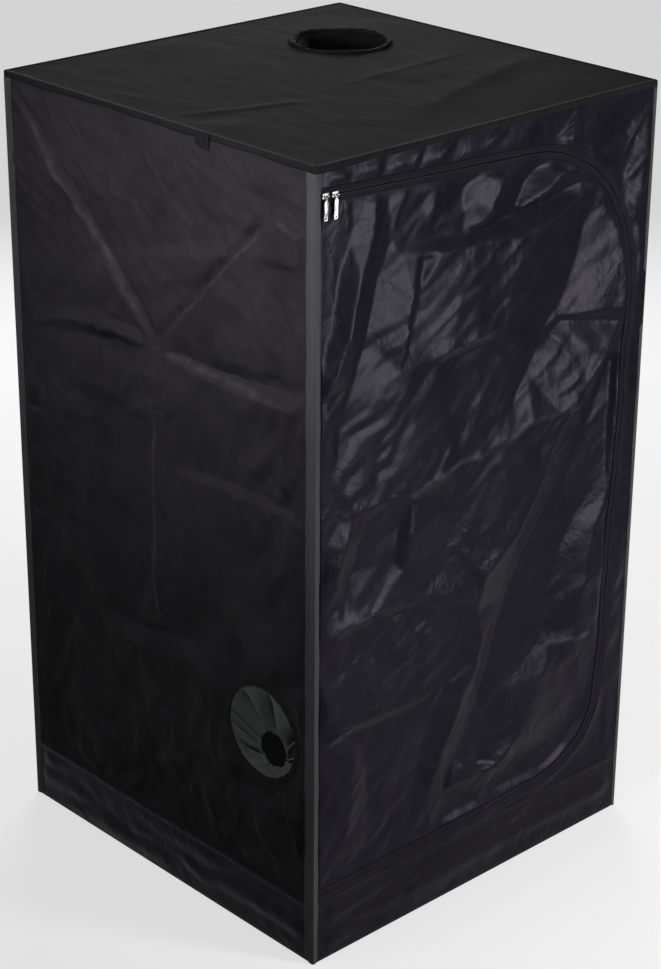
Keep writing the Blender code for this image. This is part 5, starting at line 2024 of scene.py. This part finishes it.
@dataclass(frozen=True)
class BaseTub:
    """The waterproof tub that the walls are sewn to, and the loose tray inside it."""

    finishes: Finishes
    radius: float = 0.0047
    foot: float = 0.004
    cell: float = 0.009
    rows: int = 16
    crumple: Sequence[Facets] = (
        Facets(0.08, 0.0070, 0.2, 1.9, 61),
        Facets(0.036, 0.0034, 0.9, 1.6, 62),
        Facets(0.018, 0.0010, 0.4, 1.6, 63),
    )
    low_calm: Pair = (0.004, 0.03)
    high_calm: Pair = (0.006, 0.03)
    corner_calm: Pair = (0.028, 0.06)
    sink: float = 0.006
    sink_height: float = 0.072
    sink_spread: float = 0.024
    rail_depth: float = 0.001
    wall_depth: float = 0.007
    rail_clear: Pair = (0.022, 0.05)
    proud: float = 0.006
    seam_section: Sequence[Pair] = (
        (0.0065, 0.0002), (0.0045, 0.0016), (0.001, 0.0021),
        (-0.004, 0.0018), (-0.008, 0.0010), (-0.0085, 0.0001),
    )
    seam_waves: Waves = ((0.0011, 12, 0), (0.0007, 37, 1))
    seam_lumps: Waves = ((0.18, 55, 0), (0.1, 131, 0))
    seam_corner: Pair = (0.022, 0.05)
    seam_flat: float = 0.25
    seam_step: float = 0.008
    tray_wall: float = 0.001
    tray_cell: float = 0.02
    tray_radius: float = 0.02
    tray_rows: int = 5
    stitching: Stitching = field(default_factory=Stitching)

    def build(self) -> None:
        """Builds the tub, its seam and the tray."""
        self.tub()
        self.seam()
        self.tray()

    def shell(self, reach: float, radius: float, low: float, high: float, step: float, rows: int) -> BMesh:
        """An open box of cloth with a rounded foot and a flat floor.

        Args:
            reach: half its width.
            radius: the radius of its corners.
            low: z of its floor.
            high: z of its rim.
            step: the distance between stations.
            rows: the rows of its wall.

        Returns:
            The mesh.
        """
        rail = rim_rail(reach, radius, low)
        section = [(0.0, -self.foot), (0.0006, -0.0024), (0.0018, -0.0009), (self.foot, 0.0)]
        section += [(up, 0.0) for up in np.linspace(self.foot, high - low, rows)[1:]]
        bm = strip(rail, section, step)
        floor_edges = [
            edge for edge in bm.edges if edge.is_boundary and max(v.co.z for v in edge.verts) < low + 0.0002
        ]
        bmesh.ops.holes_fill(bm, edges=floor_edges)
        return bm

    def tub(self) -> None:
        """The tub, bulged and creased where it was folded flat."""
        low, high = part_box("base_tub")
        bm = self.shell(high.x, self.radius, low.z, high.z, self.cell, self.rows)
        spots = np.array([vert.co for vert in bm.verts])
        around = np.where(np.abs(spots[:, 0]) > np.abs(spots[:, 1]), spots[:, 1], spots[:, 0] + 3.0)
        up = spots[:, 2]
        heights = sum(facet.heights(around, up) for facet in self.crumple)
        calm = rise(up, *self.low_calm) * rise(high.z - up, *self.high_calm)
        calm *= rise(high.x - np.minimum(np.abs(spots[:, 0]), np.abs(spots[:, 1])), *self.corner_calm)
        sunk = -self.sink * np.exp(-(((up - self.sink_height) / self.sink_spread) ** 2)) * np.sqrt(calm)
        deepest = -self.rail_depth - self.wall_depth * rise(up, *self.rail_clear)
        amount = np.clip(heights * calm + sunk, deepest, self.proud)
        for vert, out in zip(bm.verts, amount):
            axis = 0 if abs(vert.co.x) > abs(vert.co.y) else 1
            vert.co[axis] += math.copysign(out, vert.co[axis])
        face_away(bm, Vector((0, 0, high.z / 2)))
        cloth = self.finishes.pick("base cloth")
        dressing = Dressing("base_cloth", cloth, replaces=("base_tub",), thickness=CLOTH_THICKNESS)
        tub = dressing.make("tub_cloth", bm)

    def seam(self) -> None:
        """The rolled seam between the walls and the tub."""
        rail = rim_rail(SKIN, self.radius, TUB_TOP)

        def rolled(along: Array, aside: Array, proud: Array) -> tuple:
            """Makes the roll uneven.

            Args:
                along: distances along the line.
                aside: distances beside it.
                proud: distances above it.

            Returns:
                The same three, changed.
            """
            drift, lumps = ripple(along, self.seam_waves), ripple(along, self.seam_lumps)
            side = along % (rail.length / 4)
            from_corner = rise(np.minimum(side, rail.length / 4 - side), *self.seam_corner)
            full = self.seam_flat + (1 - self.seam_flat) * from_corner
            return along, aside + drift, proud * full * (1 + lumps)

        bm = strip(rail, self.seam_section, self.seam_step, rolled)
        face_away(bm, Vector((0, 0, TUB_TOP)))
        dressing = Dressing("base_cloth", self.finishes.pick("base cloth"), thickness=0.0003)
        seam = dressing.make("tub_seam_roll", bm)
        bm = self.stitching.sew(rim_rail(SKIN, self.radius, TUB_TOP - 0.005), 0, 0.0022)
        Dressing("base_cloth", self.finishes.pick("thread")).make("tub_seam_stitches", bm)

    def tray(self) -> None:
        """The silver tray on the floor, with edges cut along the lines it was folded on."""
        low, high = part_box("floor_tray")
        bm = self.shell(high.x, self.tray_radius, low.z, high.z, self.tray_cell, self.tray_rows)
        for share in (-0.5, 0.0, 0.5):
            for axis in ((1, 0, 0), (0, 1, 0)):
                spot = Vector(axis) * share * high.x
                bmesh.ops.bisect_plane(
                    bm, geom=[*bm.verts, *bm.edges, *bm.faces], dist=WELD, plane_co=spot, plane_no=axis
                )
        bmesh.ops.recalc_face_normals(bm, faces=bm.faces)
        face_away(bm, Vector((0, 0, high.z / 2)))
        cloth = self.finishes.pick("silver lining")
        dressing = Dressing("tray_cloth", cloth, replaces=("floor_tray",), thickness=self.tray_wall)
        tray = dressing.make("tray_silver", bm)


@dataclass(frozen=True)
class RoofTrim:
    """The binding round the roof's edge and the webbing tab on it."""

    finishes: Finishes
    drop: float = 0.014
    width: float = 0.010
    radius: float = 0.006
    thickness: float = 0.001
    edge_waves: Waves = ((0.0012, 15, 0), (0.0008, 41, 2))
    bow_waves: Waves = ((0.0005, 28, 1),)
    stitching: Stitching = field(default_factory=Stitching)

    def build(self) -> None:
        """Builds the binding and the tab."""
        self.binding()
        self.tab()

    def binding(self) -> None:
        """The binding, folded over the edge and a little wavy."""
        rail = rim_rail(OUTER - self.thickness / 2, self.radius, TENT_HEIGHT)
        half = self.thickness / 2
        section = [
            (-self.drop, 0.0), (-self.drop / 2, 0.0002), (-0.003, 0.0), (-0.0012, -0.0006), (-half, -0.0022)
        ]
        section += [(-half, -self.width / 2), (-half, -self.width)]

        def wavy(along: Array, aside: Array, proud: Array) -> tuple:
            """Lets the lower edge wander.

            Args:
                along: distances along the line.
                aside: distances beside it.
                proud: distances above it.

            Returns:
                The same three, changed.
            """
            wander, bow = ripple(along, self.edge_waves), ripple(along, self.bow_waves)
            lower = rise(-aside, 0.002, self.drop)
            return along, aside + wander * lower, np.where(aside < -0.001, proud + bow * lower, proud)

        bm = strip(rail, section, 0.008, wavy)
        face_away(bm, Vector((0, 0, TENT_HEIGHT - 0.1)))
        tape = self.finishes.pick("binding tape")
        dressing = Dressing(
            "binding_tape", tape, replaces=("roof_edge_binding",), thickness=self.thickness / 2
        )
        binding = dressing.make("roof_binding_tape", bm)
        bm = self.stitching.sew(rim_rail(OUTER, self.radius, TENT_HEIGHT - self.drop + 0.003), 0, 0.0001)
        Dressing("binding_tape", self.finishes.pick("thread")).make("roof_binding_stitches", bm)

    def tab(self) -> None:
        """The loop of webbing that hangs over the roof's left edge."""
        low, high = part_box("roof_edge_tab")
        points = np.array(((low.x, low.y, high.z), (low.x, high.y, high.z)))
        rail = Rail(points, np.tile((0.0, 0.0, -1.0), (2, 1)), np.tile((1.0, 0.0, 0.0), (2, 1)))
        deep, thick = high.z - low.z, high.x - low.x
        section = [
            (0, 0.0),
            (deep * 0.5, 0.0001),
            (deep * 0.86, 0.0),
            (deep * 0.97, thick * 0.2),
            (deep, thick * 0.5),
        ]
        section += [
            (deep * 0.97, thick * 0.8), (deep * 0.86, thick), (deep * 0.5, thick * 0.92), (0, thick), (0, 0.0)
        ]
        bm = strip(rail, section, 0.003)
        close_ends(bm)
        tape = self.finishes.pick("binding tape")
        Dressing("binding_tape", tape, replaces=("roof_edge_tab",)).make("roof_tab_webbing", bm)


@dataclass(frozen=True)
class Ports:
    """The side port and the roof port, each with the trim round its hole and a sleeve inside."""

    finishes: Finishes
    hem_width: float = 0.014
    hem_waves: Waves = ((0.0004, 190, 0), (0.0005, 47, 1))
    neck_inset: float = 0.0135
    flange_share: float = 0.08
    side_mouth: float = 0.040
    side_depth: float = 0.030
    side_cloth: float = 0.095
    side_droop: float = 0.055
    side_sag: float = 0.012
    side_lean: float = 0.003
    lobe_rate: float = 3.5
    hung_rate: float = 3.9
    lobe_width: float = 0.10
    pleat_width: float = 0.03
    gather_depth: float = 0.030
    lobe_proud: float = 0.004
    roof_end: float = 0.080
    roof_cloth: float = 0.14
    roof_folds: Pair = (0.09, 0.02)
    roof_fallen: Triple = (0.30, 2.2, 0.45)
    roll_inward: float = 0.9
    roll_width: Waves = ((0.10, 9, 1),)
    roll_lift: float = 0.42
    roll_lumps: Waves = ((0.12, 5, 0), (0.05, 23, 0))
    sleeve_cells: tuple[int, int] = (192, 28)
    roll_cells: tuple[int, int] = (160, 14)
    hem_points: int = 129
    hem_seams: Pair = (0.0028, 0.0045)
    thread_lift: float = 0.0016

    def build(self) -> None:
        """Builds both ports."""
        self.side_hem()
        self.side_sleeve()
        self.roof_rim()
        self.roof_sleeve()

    def side_hem(self) -> None:
        """The turned hem round the side port."""
        centre, outer = ring_of("side_port_hem", 1, 2)
        count = self.hem_points
        angles = np.linspace(0, 2 * math.pi, count)
        y, z = centre[0] + outer * np.cos(angles), centre[1] + outer * np.sin(angles)
        inward = np.column_stack((np.zeros(count), -np.cos(angles), -np.sin(angles)))
        ring = np.column_stack((np.full(count, -SKIN), y, z))
        rail = Rail(ring, inward, np.tile((-1.0, 0.0, 0.0), (count, 1)))
        width = self.hem_width
        section = [
            (0.0, 0.0002), (0.0012, 0.0011), (0.0035, 0.0013), (width * 0.5, 0.0012), (width - 0.0045, 0.0013)
        ]
        section += [
            (width - 0.002, 0.0020), (width - 0.0003, 0.0016), (width + 0.0004, 0.0004), (width, -0.0012)
        ]

        def puckered(along: Array, aside: Array, proud: Array) -> tuple:
            """Puckers the hem between its stitches."""
            return along, aside, proud + ripple(along, self.hem_waves) * rise(aside, 0.0, 0.004)

        bm = strip(rail, section, 0.004, puckered)
        face_away(bm, Vector((0, centre[0], centre[1])))
        dressing = Dressing(
            "sleeve_cloth", self.finishes.pick("hem cloth"), replaces=("side_port_hem",), thickness=0.0004
        )
        hem = dressing.make("side_port_binding", bm)
        for number, aside in enumerate((self.hem_seams[0], width - self.hem_seams[1])):
            bm = Stitching().sew(rail, aside, self.thread_lift)
            Dressing("sleeve_cloth", self.finishes.pick("thread")).make(f"side_port_stitches_{number}", bm)

    def funnel(self, flange: float, end: float, along: Array) -> Arrays:
        """How far down a sleeve each place is, and its radius there: a flat flange, then a cone.

        Args:
            flange: the flange's radius.
            end: the radius at the end.
            along: how far along the sleeve, from 0 to 1.

        Returns:
            The shares past the flange, and the radii.
        """
        neck, first = flange - self.neck_inset, self.flange_share
        share = np.clip((along - first) / (1 - first), 0, 1)
        return share, np.where(
            along < first, flange + (neck - flange) * along / first, neck + (end - neck) * share
        )

    def sleeve(
        self, name: str, node: str, mapping: Mapping, inner: Vector, finish: str = "sleeve cloth"
    ) -> None:
        """One gathered sleeve from its mapping.

        Args:
            name: the piece's name.
            node: the CAD node it replaces.
            mapping: lays its cloth.
            inner: a point inside it.
            finish: the name of its cloth.
        """
        bm = laid_grid(*self.sleeve_cells, mapping)
        face_away(bm, inner)
        cloth = self.finishes.pick(finish)
        dressing = Dressing("sleeve_cloth", cloth, replaces=(node,), thickness=CLOTH_THICKNESS / 2)
        piece = dressing.make(name, bm)

    def side_sleeve(self) -> None:
        """The side sleeve, which droops from its flange to a gathered mouth."""
        low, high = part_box("side_port_sleeve")
        centre, _ = ring_of("side_port_hem", 1, 2)
        flange = (high.y - low.y) / 2
        neck, depth = flange - self.neck_inset, self.side_depth

        def gathered(turn: Array, inward: Array) -> Arrays:
            """The sleeve's cloth, from the flange inwards: seven lobes between deep gathers.

            Args:
                turn: shares of a turn.
                inward: how far inwards, from 0 to 1.

            Returns:
                The places and the flat positions.
            """
            angle = 2 * math.pi * turn
            share, radius = self.funnel(flange, self.side_mouth, inward)
            belly = np.sin(math.pi * share**0.8)
            hung = rise(np.sin(angle), -0.3, 0.3)
            turned = self.lobe_rate * angle + 0.35 * np.sin(2 * angle)
            upright = self.hung_rate * np.cos(angle) + 0.4
            lobe = np.abs(np.sin(turned + hung * (upright - turned))) ** 0.5
            wide, pleat = self.lobe_width * share, self.pleat_width * share
            radius = radius * (1 + wide * (lobe - 0.6) + pleat * np.sin(19 * angle))
            folded = self.gather_depth * (1 - lobe) - self.lobe_proud * lobe
            x = low.x + depth * share + folded * belly
            y = centre[0] + radius * np.cos(angle) - self.side_lean * share
            sag = self.side_sag * belly * rise(np.sin(angle), 0, 1)
            z = centre[1] + radius * np.sin(angle) - self.side_droop * share - sag
            return np.stack((x, y, z), 1), np.stack((turn * 2 * math.pi * neck, inward * self.side_cloth), 1)

        inner = Vector((low.x + depth, centre[0], centre[1] - 0.03))
        self.sleeve("side_sleeve_cloth", "side_port_sleeve", gathered, inner)

    def roof_rim(self) -> None:
        """The soft rolled rim that stands round the roof port."""
        low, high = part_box("roof_port_rim")
        centre, outer = ring_of("roof_port_rim", 0, 1)
        half = self.hem_width / 2
        radius = outer - half
        tall = high.z - low.z

        def rolled(turn: Array, over: Array) -> Arrays:
            """The rim's cloth, over from its outer foot to its inner one.

            Args:
                turn: shares of a turn.
                over: how far over the rim, from 0 to 1.

            Returns:
                The places and the flat positions.
            """
            angle = 2 * math.pi * turn
            bend = math.pi * over
            inner = self.roll_inward * over * rise(np.sin(3 * angle + 0.5), -0.6, 1)
            wide = half * (1 + inner) * (1 + ripple(angle, self.roll_width))
            lift = tall * (self.roll_lift + ripple(angle, self.roll_lumps))
            across = radius + wide * np.cos(bend)
            x, y = centre[0] + across * np.cos(angle), centre[1] + across * np.sin(angle)
            z = SKIN_TOP + 0.0002 + lift * np.sin(bend)
            return np.stack((x, y, z), 1), np.stack((angle * radius, over * 0.026), 1)

        bm = laid_grid(*self.roll_cells, rolled)
        face_away(bm, Vector((centre[0], centre[1], SKIN_TOP)))
        bmesh.ops.recalc_face_normals(bm, faces=bm.faces)
        cloth = self.finishes.pick("roof cloth")
        dressing = Dressing("sleeve_cloth", cloth, replaces=("roof_port_rim",), thickness=0.0005)
        rim = dressing.make("roof_port_roll", bm)

    def roof_sleeve(self) -> None:
        """The roof sleeve, which hangs down inside and folds in on itself."""
        low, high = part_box("roof_port_sleeve")
        centre, flange = ring_of("roof_port_sleeve", 0, 1)
        neck, depth = flange - self.neck_inset, high.z - low.z

        def hanging(turn: Array, down: Array) -> Arrays:
            """The sleeve's cloth, from the flange down.

            Args:
                turn: shares of a turn.
                down: how far down, from 0 to 1.

            Returns:
                The places and the flat positions.
            """
            angle = 2 * math.pi * turn
            share, radius = self.funnel(flange, self.roof_end, down)
            deep, fine = self.roof_folds
            fold = deep * np.cos(8 * angle + 0.6 * np.sin(3 * angle)) + fine * np.cos(19 * angle)
            amount, middle, width = self.roof_fallen
            fallen = amount * np.exp(-(((angle - middle) / width) ** 2)) * np.sin(math.pi * share**0.6)
            radius = radius * (1 + share * fold - fallen)
            x, y = centre[0] + radius * np.cos(angle), centre[1] + radius * np.sin(angle)
            z = high.z - depth * share
            return np.stack((x, y, z), 1), np.stack((turn * 2 * math.pi * neck, down * depth), 1)

        inner = Vector((centre[0], centre[1], low.z + depth / 2))
        self.sleeve("roof_sleeve_cloth", "roof_port_sleeve", hanging, inner, "roof cloth")


@dataclass(frozen=True)
class Sliders:
    """The two zip sliders and their pulls."""

    finishes: Finishes
    slider_round: float = 0.00022
    pull_round: float = 0.00025

    def build(self) -> None:
        """Softens each casting and dresses it in plated metal."""
        metal = self.finishes.pick("zip metal")
        for place in ("trailing", "leading"):
            node = f"zip_slider_{place}"
            dressing = Dressing("zip_metal", metal, body=f"slider_{place}", replaces=(node,))
            rounded_copy(node, f"slider_{place}_casting", dressing, self.slider_round)
            node = f"zip_pull_{place}"
            dressing = Dressing("zip_metal", metal, body=f"pull_{place}", replaces=(node,))
            rounded_copy(node, f"pull_{place}_casting", dressing, self.pull_round)


@dataclass(frozen=True)
class Softbox:
    """One area lamp: where it stands, what it faces, its size and its power."""

    name: str
    place: Triple
    aim: Triple
    size: Pair
    watts: float
    spread: float = math.pi

    def light(self) -> None:
        """Adds the lamp."""
        lamp = bpy.data.lights.new(self.name, "AREA")
        lamp.shape = "RECTANGLE"
        lamp.size, lamp.size_y = self.size
        lamp.energy = self.watts
        lamp.spread = self.spread
        holder = bpy.data.objects.new(self.name, lamp)
        way = Vector(self.aim) - Vector(self.place)
        holder.location = self.place
        holder.rotation_euler = way.to_track_quat("-Z", "Y").to_euler()
        holder.visible_camera = False
        bpy.context.scene.collection.objects.link(holder)


@dataclass(frozen=True)
class Camera:
    """The camera that took the photograph, as fitted to the corners of the tent."""

    place: Triple = (-3.53175778, -3.77757588, 3.10908282)
    turn: float = math.radians(-43.1679)
    dip: float = math.radians(23.7182)
    roll: float = math.radians(0.40236)
    focal_pixels: float = 2446.98
    picture_height: float = 969
    sensor: float = 36.0

    def stand(self) -> None:
        """Places the camera."""
        level = math.cos(self.dip)
        back = Vector((math.sin(self.turn) * level, -math.cos(self.turn) * level, math.sin(self.dip)))
        right = Vector((0, 0, 1)).cross(back).normalized()
        up = back.cross(right)
        right, up = (
            math.cos(self.roll) * right + math.sin(self.roll) * up,
            math.cos(self.roll) * up - math.sin(self.roll) * right,
        )
        lens = bpy.data.cameras.new("camera")
        lens.sensor_width = self.sensor
        lens.lens = self.focal_pixels / self.picture_height * self.sensor
        camera = bpy.data.objects.new("camera", lens)
        bpy.context.scene.collection.objects.link(camera)
        turn = Matrix((right, up, back)).transposed().to_4x4()
        camera.matrix_world = Matrix.Translation(self.place) @ turn
        bpy.context.scene.camera = camera


@dataclass(frozen=True)
class Studio:
    """The floor, the world and the lamps."""

    floor_half: float = 12.0
    floor_seen: Triple = (0.34, 0.34, 0.34)
    floor_bounce: Triple = (0.08, 0.08, 0.08)
    floor_glow: float = 0.62
    paper_half: Pair = (2.72, 3.4)
    paper_shift: float = 0.4
    sky_seen: float = 1.0
    sky_light: float = 0.10
    lamps: Sequence[Softbox] = (
        Softbox("key softbox", (1.15, -3.25, 1.0), (0.0, -0.5, 1.0), (0.7, 1.4), 116),
        Softbox("side softbox", (-1.42, -0.35, 2.03), (-0.5, -0.2, 1.5), (1.3, 0.3), 8.8, math.radians(110)),
        Softbox("top softbox", (0.0, 0.3, 4.6), (0.0, 0.0, 1.8), (2.0, 2.0), 25),
        Softbox("rear softbox", (2.6, 3.0, 2.2), (0.3, 0.3, 0.9), (2.0, 2.0), 95),
    )

    def build(self) -> None:
        """Sets the studio up."""
        for lamp in self.lamps:
            lamp.light()
        self.floor()
        self.world()
        bpy.context.scene.view_settings.view_transform = "Standard"

    def seen(self, nodes: Sockets, mirrored_share: object = 1.0) -> bpy.types.NodeSocket:
        """1 for a ray that shows the background, seen straight, mirrored or through glass.

        Args:
            nodes: the material's nodes.
            mirrored_share: how much of it a mirrored ray gets.

        Returns:
            The socket.
        """
        path = nodes.add("LightPath")
        mirrored = nodes.sum("MAXIMUM", path.outputs["Is Glossy Ray"], path.outputs["Is Transmission Ray"])
        mirrored = nodes.sum("MULTIPLY", mirrored, mirrored_share)
        return nodes.sum("MAXIMUM", path.outputs["Is Camera Ray"], mirrored)

    def floor(self) -> None:
        """A plain pale floor that keeps the tent's shadow and lights it little from below."""
        bm = bmesh.new()
        bmesh.ops.create_grid(bm, x_segments=1, y_segments=1, size=self.floor_half)
        mesh = bpy.data.meshes.new("studio_floor")
        bm.to_mesh(mesh)
        bm.free()
        material, nodes, shader = new_material("studio floor")
        colour = nodes.blend(self.seen(nodes), (*self.floor_bounce, 1), (*self.floor_seen, 1))
        material.node_tree.links.new(colour, shader.inputs["Base Color"])
        shader.inputs["Roughness"].default_value = 0.9
        shader.inputs["Specular IOR Level"].default_value = 0.0
        shader.inputs["Emission Color"].default_value = (1, 1, 1, 1)
        spot = nodes.add("SeparateXYZ", inputs={0: nodes.add("TexCoord").outputs["Object"]})
        across = nodes.sum("SUBTRACT", nodes.sum("ADD", spot.outputs[0], self.paper_shift), spot.outputs[1])
        aside = nodes.sum("ABSOLUTE", across)
        paper = nodes.add(
            "MapRange", inputs={0: aside, 1: self.paper_half[0], 2: self.paper_half[1], 3: 1.0, 4: 0.0}
        )
        glow = nodes.sum("MULTIPLY", self.seen(nodes, paper.outputs[0]), self.floor_glow)
        material.node_tree.links.new(glow, shader.inputs["Emission Strength"])
        mesh.materials.append(material)
        floor = bpy.data.objects.new("studio_floor", mesh)
        bpy.context.scene.collection.objects.link(floor)

    def world(self) -> None:
        """A dim even sky that shows white."""
        world = bpy.data.worlds.new("studio")
        world.use_nodes = True
        nodes = Sockets(world.node_tree)
        strength = nodes.spread(self.seen(nodes), self.sky_light, self.sky_seen)
        world.node_tree.links.new(strength, world.node_tree.nodes["Background"].inputs["Strength"])
        world.node_tree.nodes["Background"].inputs["Color"].default_value = (1, 1, 1, 1)
        bpy.context.scene.world = world


def main() -> None:
    """Builds the tent and its studio."""
    logging.basicConfig(level=logging.INFO, format="%(message)s")
    Camera().stand()
    finishes = Finishes()
    zip_line = ZipLine()
    Walls(finishes).build()
    Roof(finishes).build()
    Front(finishes, zip_line).build()
    Zip(finishes, zip_line).build()
    Sliders(finishes).build()
    CornerBands(finishes).build()
    RoofTrim(finishes).build()
    BaseTub(finishes).build()
    Ports(finishes).build()
    PoleFrame(finishes).build()
    Studio().build()


if __name__ == "__main__":
    main()
